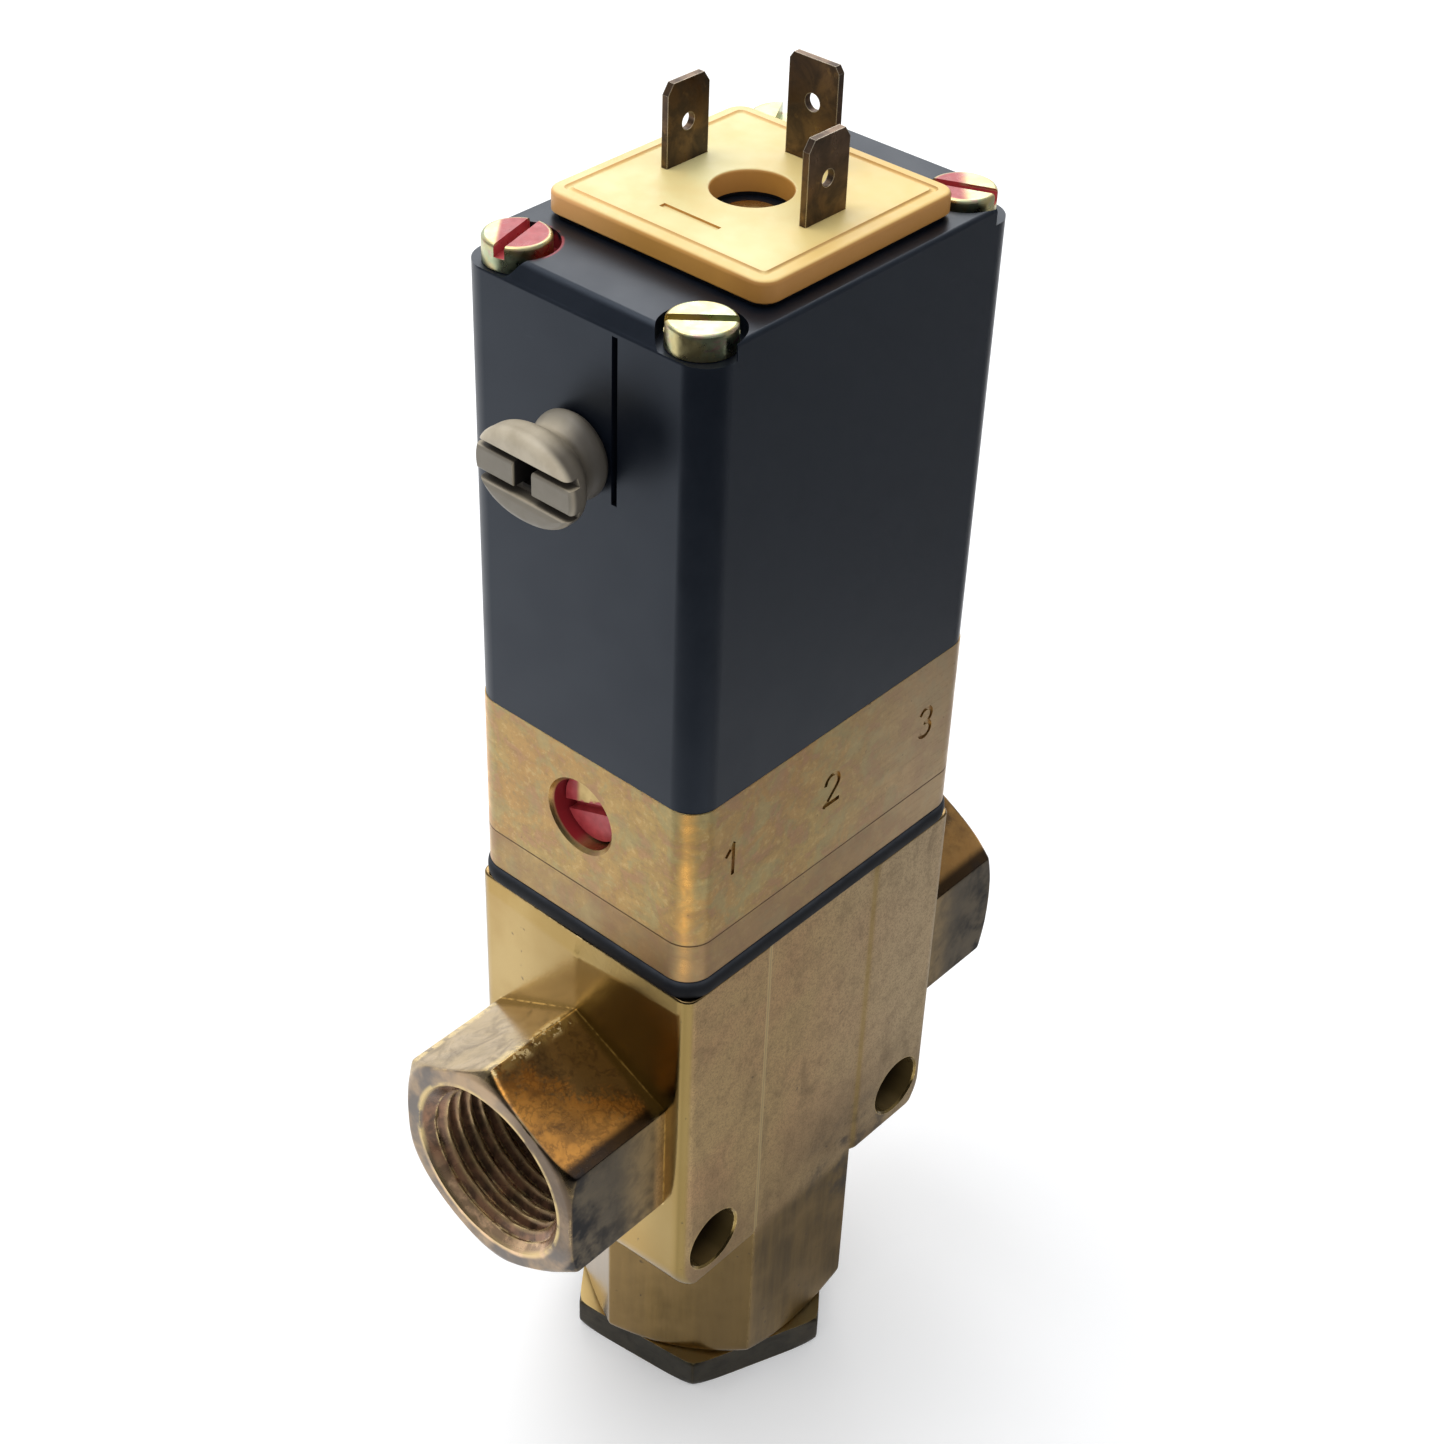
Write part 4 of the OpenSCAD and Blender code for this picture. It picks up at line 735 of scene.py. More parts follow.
way = turned("way_up", 2, (0, 0, 0), way_profile[:, 1], way_profile[:, 0], 72)
carve(fitting, tapped_bore("low_bore", 2, (0, 0, 0), 0.0, 1, LOW_DEPTH), way)
settle(fitting, "housing", "dark_brass", "port_fitting")

# %% [markdown]
# ## Seal and cover plate
# The black seal is squeezed between body and cover, so its edge bulges. It is a ring-shaped surface:
# a section carried round, whose outer side follows the block outline and whose inner side is a circle.

# %% Seal
EDGE_CORNER, SEAL_OPENING, SEAL_BULGE, SEAL_WIDER = 3.4, 14.0, 0.35, 0.3
CLEAR_R, SEAL_DUCT_R = 2.2, 1.2


def ring_surface(name, outline, insets, levels, inner_r):
    """Rings that follow the outline at each inset and level, then close through a round opening."""
    rings = [at_level(shrunk(outline, d), z) for d, z in zip(insets, levels)]
    angle = np.arctan2(outline[:, 1], outline[:, 0])
    hole = inner_r * np.stack([np.cos(angle), np.sin(angle)], 1)
    rings += [at_level(hole, z) for z in (levels[-1], levels[0])]
    return loft(name, np.array(rings), joined=True)


def even_outline(outline, count):
    """The outline with its points spread evenly along its length, from the +X axis."""
    ring = np.concatenate([outline, outline[:1]])
    far = np.concatenate([[0], np.cumsum(np.linalg.norm(np.diff(ring, axis=0), axis=1))])
    at = np.linspace(0, far[-1], count, endpoint=False)
    return np.stack([np.interp(at, far, ring[:, 0]), np.interp(at, far, ring[:, 1])], 1)


bulge_a = np.linspace(-np.pi / 2, np.pi / 2, 13)
seal_mid, seal_half = (gasket_low[2] + gasket_high[2]) / 2, (gasket_high[2] - gasket_low[2]) / 2
seal_outline = even_outline(rounded_rectangle(*gasket_high[:2], EDGE_CORNER + SEAL_WIDER, 16), 320)
seal = ring_surface("edge_seal", seal_outline, SEAL_BULGE * (1 - np.cos(bulge_a)),
                    seal_mid + seal_half * np.sin(bulge_a), SEAL_OPENING)
through = gasket_low[2] - 1, gasket_high[2] + 1
carve(seal, *tie_holes(*through, CLEAR_R), drill(2, (duct_x, 0, 0), *through, SEAL_DUCT_R))
settle(seal, "housing", "gasket_rubber", "cover_gasket")

# %% Cover plate
LOWER_ROUND, SEAM_ROUND = 0.22, 0.07
block_outline = rounded_rectangle(half_len, half_wid, EDGE_CORNER, 16)
NUT_ROOM_R, NUT_ROOM_H = 6.0, 2.6
OUTLET_DUCT_X, OUTLET_DUCT_R = -3.0, 1.2
cover = prism("cover_slab", block_outline, cover_low[2], cover_high[2], LOWER_ROUND, SEAM_ROUND)
through = cover_low[2] - 1, cover_high[2] + 1
nut_room = drill(2, (0, 0, 0), through[0], cover_low[2] + NUT_ROOM_H, NUT_ROOM_R, 48)
carve(cover, nut_room, *tie_holes(*through, CLEAR_R), drill(2, (duct_x, 0, 0), *through, DUCT_R),
      drill(2, (OUTLET_DUCT_X, 0, 0), *through, OUTLET_DUCT_R))
settle(cover, "housing", "milled_brass", "cover_plate")

# %% [markdown]
# ## The pilot block
# The pilot block is a milled slab with a counterbored seat screw in its end and plain numerals stamped
# in its front, one above each port. A numeral is a narrow ribbon carried along a path and sunk a
# quarter of a millimetre into the face.

# %% Pilot block
seat_screw_low, seat_screw_high = span("seat_screw")
nozzle_z = (seat_screw_low[2] + seat_screw_high[2]) / 2
HEAD_GAP, BORE_LIP, RING_ROOM, RING_SUNK = 0.25, 0.45, 1.35, 1.1
head_bore = (seat_screw_high[2] - seat_screw_low[2]) / 2 + HEAD_GAP
ring_end = span("seat_screw_o_ring")[1][0]
diaphragm_low, diaphragm_high = span("separating_diaphragm")
rocker_x = (diaphragm_low[0] + diaphragm_high[0]) / 2
diaphragm_r = diaphragm_high[1]
nozzle_end = span("exhaust_nozzle")[1][0]
NOZZLE_R, ROOM_R, ROOM_FLOOR = 3.02, 8.0, 3.3
rocker_foot = pilot_low[2] + ROOM_FLOOR

pilot = prism("pilot_slab", block_outline, pilot_low[2], pilot_high[2], SEAM_ROUND, SEAM_ROUND)
counterbore = turned("counterbore", 0, (0, 0, nozzle_z),
                     [-half_len - 1, -half_len, -half_len + BORE_LIP, ring_end, ring_end, rocker_x],
                     [head_bore + BORE_LIP + 1, head_bore + BORE_LIP, head_bore, head_bore,
                      NOZZLE_R, NOZZLE_R], 72)
exhaust = turned("exhaust", 0, (0, 0, nozzle_z), [rocker_x, nozzle_end, nozzle_end, half_len + 1],
                 [NOZZLE_R, NOZZLE_R, DUCT_R, DUCT_R], 48)
rocker_room = turned("rocker_room", 2, (rocker_x, 0, 0),
                     [rocker_foot, diaphragm_low[2], diaphragm_low[2], pilot_high[2] + 1],
                     [ROOM_R, ROOM_R, diaphragm_r + SLIP, diaphragm_r + SLIP], 72)
through, ring_top = (pilot_low[2] - 1, pilot_high[2] + 1), pilot_low[2] + RING_SUNK
ducts = [turned("duct", 2, (x, 0, 0), [through[0], ring_top, ring_top, top],
                [r + RING_ROOM, r + RING_ROOM, r, r], 32)
         for x, r, top in ((duct_x, DUCT_R, nozzle_z),
                           (OUTLET_DUCT_X, OUTLET_DUCT_R, rocker_foot + 1))]
carve(pilot, counterbore, exhaust, rocker_room, *ducts, *tie_holes(*through, CLEAR_R))
print("pilot block bored:", len(pilot.data.polygons), "faces")

# %% Numerals
STROKE, SUNK, PROUD, NUMERAL_H = 0.55, 0.25, 0.6, 4.0
ONE_X, TWO_X, THREE_X = -half_len + 6.4, -0.7, half_len - 7.6


def arc(centre, radius, start, end, steps=20):
    """Points centre + radius (cos t, sin t) from one angle to another, in degrees."""
    t = np.radians(np.linspace(start, end, steps))
    return np.asarray(centre) + radius * np.stack([np.cos(t), np.sin(t)], 1)


def ribbon(path_points, where):
    """A stroke cutter: a rectangular section carried along a path in the front face."""
    p = np.asarray(path_points, float)
    along = np.gradient(p, axis=0)
    along /= np.linalg.norm(along, axis=1, keepdims=True)
    side = np.stack([-along[:, 1], along[:, 0]], 1) * STROKE / 2
    p[0] -= along[0] * STROKE / 2
    p[-1] += along[-1] * STROKE / 2
    edge = np.stack([p + side, p - side, p - side, p + side], 1)
    depth = np.broadcast_to(np.array([SUNK, SUNK, -PROUD, -PROUD]) - half_wid, edge.shape[:2])
    rings = np.stack([edge[..., 0] + where, depth, edge[..., 1] + nozzle_z], -1)
    return loft("stroke", rings)


top = NUMERAL_H / 2
two_r, three_r = NUMERAL_H * 0.28, NUMERAL_H / 4
bow = arc((0, top - two_r), two_r, 170, -40)
numerals = {
    ONE_X: [[(0, -top), (0, top - 0.3)], [(-NUMERAL_H / 4, top - 1.1), (0, top)]],
    TWO_X: [bow, [bow[-1], (-two_r, -top)], [(-two_r, -top), (two_r, -top)]],
    THREE_X: [arc((0, three_r), three_r, 150, -90), arc((0, -three_r), three_r, 90, -150)],
}
strokes = [ribbon(stroke, where) for where, numeral in numerals.items() for stroke in numeral]
carve(pilot, *strokes)
settle(pilot, "housing", "milled_brass", "pilot_block")

# %% [markdown]
# ## The coil case
# The case is a moulded box with round upright edges. Its top slopes down towards the knob's side, has
# small round edges elsewhere, and is broken at the corners by pockets for the screw heads. A narrow
# slit beside the knob marks its position. The rings of the top are the outline with its four sides
# drawn in by different amounts: the slope's share on one side and a quarter circle on the other three.

# %% Coil case
CASE_CORNER, BAND, SLOPE_WIDE, SLOPE_EASE = 3.5, 1.9, 1.4, 0.2
EDGE_SOFT, SLOPE_SOFT = 0.5, 0.8
case_half = case_high[:2]
case_outline = rounded_rectangle(*case_half, CASE_CORNER, 18)
z_band = case_high[2] - BAND


def slope_inset(height):
    """How far the sloping side lies inside at a height above the pockets: the slope's width times
    0.9 u + 0.1 u^2, where u runs from 0 at its foot to 1 at the top, eased in at the foot by a square
    root."""
    rise = height + SLOPE_EASE
    u = np.clip(rise / (BAND + SLOPE_EASE), 0, 1)
    return SLOPE_WIDE * (0.9 * u + 0.1 * u ** 2) * np.clip(rise / (2 * SLOPE_EASE), 0, 1) ** 0.5


def topped(outline, height):
    """The outline with its sides drawn in as they are at this height above the pockets."""
    sunk = np.clip((height - BAND + EDGE_SOFT) / EDGE_SOFT, 0, 1)
    edge = EDGE_SOFT * (1 - np.sqrt(1 - sunk ** 2))
    low_side = np.array([-case_half[0] + max(slope_inset(height), 0) + edge * SLOPE_SOFT,
                         -case_half[1] + edge])
    return np.clip(outline, low_side, case_half - edge)


rounding = np.sin(np.linspace(0, np.pi / 2, 9))
rises = np.concatenate([[case_low[2] - z_band], np.linspace(-SLOPE_EASE, 0.3, 7),
                        BAND - EDGE_SOFT + EDGE_SOFT * rounding])
case_rings = [at_level(topped(case_outline, z), z_band + z) for z in rises]
case = loft("coil_case", np.array(case_rings))
print("case of", len(case_rings), "rings")

# %% Rooms and pockets of the case
POCKET_R, POCKET_OUT = 4.3, 9
SIDE_WALL, TOP_WALL, END_WALL, KNOB_WALL, MID_HALF, COIL_GAP = 2.9, 6.0, 7.9, 6.4, 8.0, 0.8
SHAFT_R, SHAFT_GAP, BUSH_R, BUSH_DEEP = 3.5, 0.1, 5.2, 6.5
SLIT_Y, SLIT_WIDE, SLIT_DEEP, SLIT_BELOW = -4.8, 0.75, 2.2, 4.2
bobbin_high = span("bobbin")[1]
bush_ring_low, bush_ring_high = span("override_bush")
knob_low, knob_high = span("override_knob")
knob_z = (bush_ring_low[2] + bush_ring_high[2]) / 2
insert_low, insert_high = span("plug_insert")
plate_x = (plate_low[0] + plate_high[0]) / 2
room_x, room_y = case_half[0] - END_WALL, case_half[1] - SIDE_WALL
room_top, room_foot, out_x = z_band - TOP_WALL, case_low[2] - 1, -case_half[0]
rooms = [bar("room", (-room_x, -room_y, room_foot), (room_x, room_y, room_top)),
         bar("mid_room", (out_x + KNOB_WALL, -MID_HALF, room_foot),
             (bobbin_high[0] + COIL_GAP, MID_HALF, room_top))]
t = np.radians(np.linspace(90, 360, 40))
well = np.concatenate([POCKET_R * np.stack([np.cos(t), np.sin(t)], 1),
                       np.array([(1, 0), (1, 1), (0, 1)]) * POCKET_OUT]) + [tie_x, tie_y]
pockets = [prism("pocket", well * [sx, sy], z_band, case_high[2] + 1)
           for sx in (-1, 1) for sy in (-1, 1)]
shaft_hole = turned("shaft_hole", 0, (0, 0, knob_z),
                    [out_x - 1, bush_ring_low[0], bush_ring_low[0], out_x + BUSH_DEEP],
                    [SHAFT_R + SHAFT_GAP, SHAFT_R + SHAFT_GAP, BUSH_R + SLIP, BUSH_R + SLIP], 64)
slit = bar("slit", (out_x - 1, SLIT_Y - SLIT_WIDE / 2, knob_z - SLIT_BELOW),
           (out_x + SLIT_DEEP, SLIT_Y + SLIT_WIDE / 2, z_band - 0.5))
insert_room = drill(2, (plate_x, 0, 0), insert_low[2], case_high[2] + 1, insert_high[1] + SLIP, 48)
carve(case, *rooms, *pockets, *tie_holes(room_foot, z_band + 1, CLEAR_R), shaft_hole, slit, insert_room)
print("case hollowed:", len(case.data.polygons), "faces")

# %% Blade slots and post of the case
BLADE_THICK, POST_FAR, POST_NEAR, POST_HALF, POST_GAP = 0.8, 8, 2, 3, 0.02
pole_high = span("pole_shoe")[1]


def blade_slots(low, high):
    """Slots for the three blades, grown by the slip gap."""
    blades_low, blades_high = span("contact_blades")
    near_end = np.array([blades_high[0], blades_low[1] + BLADE_THICK, 0])
    far_start = np.array([blades_low[0], blades_high[1] - BLADE_THICK, 0])
    boxes = [span("earth_blade"), (blades_low, near_end), (far_start, blades_high)]
    return [bar("blade_slot", (*(one[:2] - SLIP), low), (*(two[:2] + SLIP), high))
            for one, two in boxes]


blade_foot = span("earth_blade")[0][2] - SLIP
carve(case, *blade_slots(blade_foot, case_high[2] + 1))
post = bar("post", (pole_high[0] - POST_FAR, -POST_HALF, pole_high[2] + POST_GAP),
           (pole_high[0] - POST_NEAR, POST_HALF, room_top + 1))
carve(case, post, operation="UNION")
settle(case, "housing", "housing_plastic", "coil_housing")

# %% [markdown]
# ## The terminal plate
# The amber plate is square with a fine groove just inside its rim, a round hole in the middle and a
# short marking slot. It is again a ring surface: up the outer edge, across the rim, down and up the
# groove, then over the flat top into the round hole.

# %% Terminal plate
PLATE_CORNER, PLATE_SOFT = 2.0, 0.5
GROOVE_IN, GROOVE_WIDE, GROOVE_DEEP = 1.3, 0.7, 0.25
PLATE_HOLE, HOLE_SOFT = 4.2, 0.3
FOOT_SOFT, LEAST_CORNER, PLATE_POINTS = 0.2, 0.4, 256
plate_half = (plate_high[0] - plate_low[0]) / 2
plate_top, plate_foot = plate_high[2], plate_low[2]
bend = np.linspace(0, np.pi / 2, 6)
section = [(FOOT_SOFT, plate_foot), (0, plate_foot + FOOT_SOFT)]
section += list(zip(PLATE_SOFT * (1 - np.cos(bend)), plate_top - PLATE_SOFT * (1 - np.sin(bend))))
dip = np.linspace(0, 1, 9)
section += list(zip(GROOVE_IN + GROOVE_WIDE * dip, plate_top - GROOVE_DEEP * np.sin(np.pi * dip)))


def squared(half):
    """The plate outline drawn in to a smaller square with smaller corners."""
    corner = max(PLATE_CORNER - (plate_half - half), LEAST_CORNER)
    return even_outline(rounded_rectangle(half, half, corner, 16), PLATE_POINTS)


plate_rings = [at_level(squared(plate_half - d), z) for d, z in section]
way_round = np.arctan2(*squared(plate_half).T[::-1])
spoke = np.stack([np.cos(way_round), np.sin(way_round)], 1)
hole_radii = np.concatenate([PLATE_HOLE + HOLE_SOFT * (1 - np.sin(bend)), [PLATE_HOLE] * 2])
hole_levels = np.concatenate([plate_top - HOLE_SOFT * (1 - np.cos(bend)),
                              [plate_foot + 0.01, plate_foot]])
plate_rings += [at_level(spoke * r, z) for r, z in zip(hole_radii, hole_levels)]
plate_rings = np.array(plate_rings) + [plate_x, 0, 0]
terminal = loft("amber_plate", plate_rings, joined=True)
MARK_X, MARK_LONG, MARK_WIDE = -9.0, 7.4, 0.8
mark = bar("mark", (plate_x + MARK_X - MARK_WIDE / 2, -MARK_LONG / 2, plate_top - GROOVE_DEEP),
           (plate_x + MARK_X + MARK_WIDE / 2, MARK_LONG / 2, plate_top + 1))
carve(terminal, mark, *blade_slots(plate_foot - 1, plate_top + 1))
settle(terminal, "housing", "amber_plastic", "terminal_plate")

# %% [markdown]
# ## The override knob
# The knob is a small moulding like a spool: a round foot against the case, a waist, and a thick oval
# grip. Two deep grooves leave a bar between two lips, and a square hole for a key breaks the bar. Its
# section changes from a circle to an oval, so it is a superellipse whose half widths and power follow
# smooth curves along the axis. Both grooves are cut by one profile carried across the face. Behind the
# case wall a shaft with an O-ring groove ends in a slanted cam face.

# %% Override knob
FOOT_GAP, FACE_SOFT = 0.3, 1.2
face_x = knob_low[0]
foot_x = -case_half[0] - FOOT_GAP
out = foot_x - face_x


def smooth_curve(at, knots, values):
    """Cubic Hermite curve through (knots, values) with slopes from the neighbouring points."""
    knots, values = np.asarray(knots, float), np.asarray(values, float)
    slope = np.gradient(values, knots)
    k = np.clip(np.searchsorted(knots, at) - 1, 0, len(knots) - 2)
    h = knots[k + 1] - knots[k]
    t = (at - knots[k]) / h
    return ((1 + 2 * t) * (1 - t) ** 2 * values[k] + t * (1 - t) ** 2 * h * slope[k]
            + t * t * (3 - 2 * t) * values[k + 1] + t * t * (t - 1) * h * slope[k + 1])


s = np.concatenate([np.linspace(0, 0.6, 7), np.linspace(0.7, out - FACE_SOFT - 0.05, 40),
                    out - FACE_SOFT * (1 - np.sin(np.linspace(0, np.pi / 2, 9)))])
stations = [0, 0.6, 1.3, 2.1, 2.8, 3.4, 4.0, 4.8, out - 1.4, out]
half_y = smooth_curve(s, stations, [4.3, 4.68, 4.64, 4.3, 4.3, 4.7, 5.4, 6.15, 6.6, 6.6])
half_z = smooth_curve(s, stations, [4.3, 4.68, 4.62, 4.1, 3.65, 3.75, 4.25, 4.82, 4.88, 4.88])
power = smooth_curve(s, stations, [2, 2, 2, 2, 2, 2, 2.1, 2.2, 2.2, 2.2])
face_round = FACE_SOFT * (1 - np.sqrt(1 - np.clip((s - out + FACE_SOFT) / FACE_SOFT, 0, 1) ** 2))
half_y, half_z = half_y - face_round, half_z - face_round
t = np.linspace(0, 2 * np.pi, 96, endpoint=False)
c, n = np.cos(t)[None], np.sin(t)[None]
exponent = 2 / power[:, None]
knob_y = half_y[:, None] * np.sign(c) * np.abs(c) ** exponent
knob_zs = half_z[:, None] * np.sign(n) * np.abs(n) ** exponent
knob_xs = np.broadcast_to(foot_x - s[:, None], knob_y.shape)
knob = loft("turn_knob", np.stack([knob_xs, knob_y, knob_zs + knob_z], -1))
print("knob of", len(s), "rings")

# %% Shaft and cam of the knob
CAM_R, CAM_SLOPE, CAM_REACH = 4.6, 0.5, 8.0
GROOVE_R, RING_GAP = SHAFT_R - 0.9, 0.05
o_low, o_high = span("override_o_ring")
cam_back = bush_ring_high[0] + FOOT_GAP
groove_near, groove_far = o_low[0] - RING_GAP, o_high[0] + RING_GAP
shaft_profile = np.array([
    (foot_x - 1, SHAFT_R), (groove_near, SHAFT_R), (groove_near, GROOVE_R), (groove_far, GROOVE_R),
    (groove_far, SHAFT_R), (cam_back, SHAFT_R), (cam_back, CAM_R), (knob_high[0], CAM_R)])
shaft = turned("shaft", 0, (0, 0, knob_z), shaft_profile[:, 0], shaft_profile[:, 1], 64)
cam_mid = knob_high[0] - CAM_SLOPE * CAM_R
wedge_y = np.array([-1, 1, 1, -1]) * CAM_REACH
wedge_x = np.array([cam_mid - CAM_REACH * CAM_SLOPE, cam_mid + CAM_REACH * CAM_SLOPE,
                    *[knob_high[0] + 9] * 2])
wedge = prism("cam_wedge", np.c_[wedge_x, wedge_y], knob_z - CAM_REACH, knob_z + CAM_REACH)
carve(shaft, wedge)
carve(knob, shaft, operation="UNION")
print("knob with shaft:", len(knob.data.polygons), "faces")

# %% Grooves and key hole of the knob
RIB_HALF, LIP_HALF, RIB_SUNK, TRENCH, KEY_HALF = 1.35, 2.2, 0.35, 1.8, 1.3
LIP_SOFT, RIB_SOFT, KEY_TALLER = 0.6, 0.35, 0.1
lip = np.stack([LIP_SOFT * (1 - np.cos(bend)), LIP_HALF + LIP_SOFT * (1 - np.sin(bend))], 1)
rib = np.stack([RIB_SUNK + RIB_SOFT * (1 - np.sin(bend)), RIB_HALF - RIB_SOFT * (1 - np.cos(bend))], 1)
trench = [(TRENCH, LIP_HALF), (TRENCH, RIB_HALF)]
groove = np.concatenate([[(-LIP_SOFT, LIP_HALF + LIP_SOFT)], lip, trench, rib])
groove = np.concatenate([groove, groove[::-1] * [1, -1]])
slot = loft("slot", np.array([np.c_[face_x + groove[:, 0], np.full(len(groove), y),
                                    knob_z + groove[:, 1]] for y in (-9, 9)]))
key_tall = KEY_HALF + KEY_TALLER
key_hole = bar("key_hole", (face_x - 1, -KEY_HALF, knob_z - key_tall),
               (face_x + 5, KEY_HALF, knob_z + key_tall))
carve(knob, slot, key_hole)
settle(knob, "override", "knob_plastic", "override_knob")

# %% [markdown]
# ## Tie screws
# Four slotted cheese-head screws hold the stack together. A screw is one profile turned round its axis,
# with a rounded shoulder, and the slot is sawn across at the angle where the screw came to rest.

# %% Tie screws
HEAD_H, HEAD_SOFT, HEAD_FOOT = 2.8, 0.4, 0.1
SAW_WIDE, SAW_DEEP, SAW_REACH = 1.2, 1.3, 5.0
TIE_R, TIP, TIP_H = 2.0, 0.4, 0.5
SLOT_TURNS = {(-1, -1): -48, (-1, 1): 15, (1, -1): -67, (1, 1): 30}
head_top = z_band + HEAD_H
screw_profile = [(TIE_R - TIP, screws_low[2]), (TIE_R, screws_low[2] + TIP_H), (TIE_R, z_band),
                 (HEAD_R - HEAD_FOOT, z_band), (HEAD_R, z_band + HEAD_FOOT)]
screw_profile += list(zip(HEAD_R - HEAD_SOFT * (1 - np.cos(bend)),
                          head_top - HEAD_SOFT * (1 - np.sin(bend))))
screw_profile = np.array(screw_profile)
screws = None
for (sx, sy), degrees in SLOT_TURNS.items():
    centre = np.array([sx * tie_x, sy * tie_y, 0])
    screw = turned("tie_screw_set", 2, centre, screw_profile[:, 1], screw_profile[:, 0], 72)
    c, n = math.cos(math.radians(degrees)), math.sin(math.radians(degrees))
    saw = np.array([(-1, -1), (1, -1), (1, 1), (-1, 1)]) * [SAW_REACH, SAW_WIDE / 2]
    saw = saw @ np.array([[c, n], [-n, c]]) + centre[:2]
    carve(screw, prism("saw_cut", saw, head_top - SAW_DEEP, head_top + 1))
    if screws:
        carve(screws, screw, operation="UNION")
    screws = screws or screw
settle(screws, "housing", "yellow_zinc", "tie_screws")

# %% [markdown]
# ## Springs
# Two coil springs inside are squeezed when the valve works: one under the main disc and one behind the
# rocker. A spring of real wire shortens along its axis while one end stays seated. Here a copy of each
# packed spring, as it is packed, stands in for its imported node.


def sprung(name, node):
    """A copy of a packed spring with its doubled points welded, which stands in for the imported node."""
    made = bpy.data.objects.new(name, frame["nodes"][node].data.copy())
    scene.collection.objects.link(made)
    shell = bmesh.new()
    shell.from_mesh(made.data)
    bmesh.ops.remove_doubles(shell, verts=shell.verts, dist=1e-7)
    shell.to_mesh(made.data)
    shell.free()
    settle(made, "housing", "inner_steel", node)
    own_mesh(made)
    return made


springs = [sprung("return_coil", "return_spring"),
           sprung("rocker_coil", "rocker_spring")]

# %% [markdown]
# ## Brass
# Old brass is several metals at once: bright gold where it is rubbed, olive or brown where it is left
# alone, reddish where zinc has gone from its skin, and blue-black where flux and oil dried on it. Each
# finish below mixes those colours with noises of different sizes, and uses the worn-edge mask to bring
# back the bright metal along corners. The milled front and back of the forging are duller than its
# ends, so the direction that a face points decides how far the patina has gone. A mask is one where a
# tone lies and zero elsewhere: a smooth step on a noise, on a place in millimetres or on the normal.

# %% Brass tones
BRIGHT = (0.82, 0.62, 0.28)
GOLD, DEEP_GOLD, SHADED_GOLD = (0.52, 0.37, 0.15), (0.45, 0.30, 0.105), (0.265, 0.185, 0.062)
PATINA, GREY_PATINA, ROSE_PATINA = (0.53, 0.37, 0.175), (0.56, 0.43, 0.265), (0.55, 0.35, 0.175)
UMBER, OLIVE, DARK_OLIVE = (0.18, 0.12, 0.058), (0.215, 0.14, 0.050), (0.12, 0.080, 0.033)
BRONZE, GREY_BROWN, COPPER = (0.34, 0.24, 0.115), (0.22, 0.155, 0.08), (1.0, 0.46, 0.10)
PALE_GOLD, BEIGE, BLUE_GREY = (0.54, 0.405, 0.225), (0.52, 0.385, 0.24), (0.185, 0.16, 0.14)
RED_BROWN, BROWN, BLUE_BLACK = (0.33, 0.175, 0.10), (0.11, 0.065, 0.04), (0.030, 0.030, 0.034)
VERDIGRIS, PINK, WARM = (0.36, 0.33, 0.165), (0.52, 0.29, 0.165), (0.60, 0.39, 0.165)
SHADE_BROWN, NICK = (0.045, 0.028, 0.016), (0.92, 0.70, 0.34)
SOOT, SMOKE, NECK_GOLD = (0.14, 0.10, 0.068), (0.09, 0.078, 0.060), (0.31, 0.205, 0.085)
ROSE_GOLD, CORNER_HIGHLIGHT_GOLD = (1.0, 0.68, 0.40), (1.0, 0.52, 0.13)
TAN, ROSY, DUN = (0.465, 0.315, 0.12), (0.475, 0.285, 0.11), (0.32, 0.225, 0.115)
MAUVE, ASHEN, LIGHT_FLECK = (0.315, 0.205, 0.112), (0.51, 0.375, 0.24), (0.64, 0.47, 0.22)
FITTING_TONES = ((0.044, 0.039, 0.029), (0.058, 0.048, 0.033), (0.024, 0.023, 0.020),
                 (0.070, 0.056, 0.033))
CLEAN_BRASS, SCREW_GOLD = (0.66, 0.48, 0.20), (0.70, 0.52, 0.23)
LACQUER, DEEP_LACQUER = (0.62, 0.085, 0.095), (0.30, 0.020, 0.028)
CLOUDS = (0.36, 0.66)
finishes = {}
print("tones of old brass, from", BRIGHT, "to", BLUE_BLACK)

# %% Forged brass, block


def away(f, a, b, middle_a, middle_b):
    """Distance from a line along the third axis: the square root of (a - ma)^2 + (b - mb)^2."""
    da, db = f.minus(a, middle_a), f.minus(b, middle_b)
    return f.joined("SQRT", f.plus(f.times(da, da), f.times(db, db)), 0.0)


f = Finish("forged_brass_finish")
x, y, z = f.axes(f.place)
nx, ny, nz = f.facing()
along_x = f.size(x)
cloud, mottle, grain = f.noise(0.08, 4), f.noise(0.36, 5, 0.60, 0.4), f.noise(2.6, 4, 0.6)
scratch = f.noise(1.5, 4, 0.6, place=f.mapped((1, 1, 0.06)))
milled = f.band(f.size(ny), 0.80, 0.97)
gold = f.mix(f.band(cloud, *CLOUDS), GOLD, DEEP_GOLD)
dull = f.mix(f.band(cloud, *CLOUDS), PATINA, ROSE_PATINA)
dull = f.over(dull, GREY_PATINA, f.band(x, -8.0, 20.0, 0.0, 0.8))
dull = f.over(dull, UMBER, f.band(mottle, 0.44, 0.72, 0.0, 0.30))
dull = f.over(dull, UMBER, f.band(grain, 0.50, 0.72, 0.0, 0.40))
dull = f.over(dull, UMBER, f.band(scratch, 0.56, 0.76, 0.0, 0.20))
dull = f.over(dull, UMBER, f.band(z, EAR_FOOT + 22, EAR_FOOT), f.band(cloud, 0.25, 0.65), 0.75)
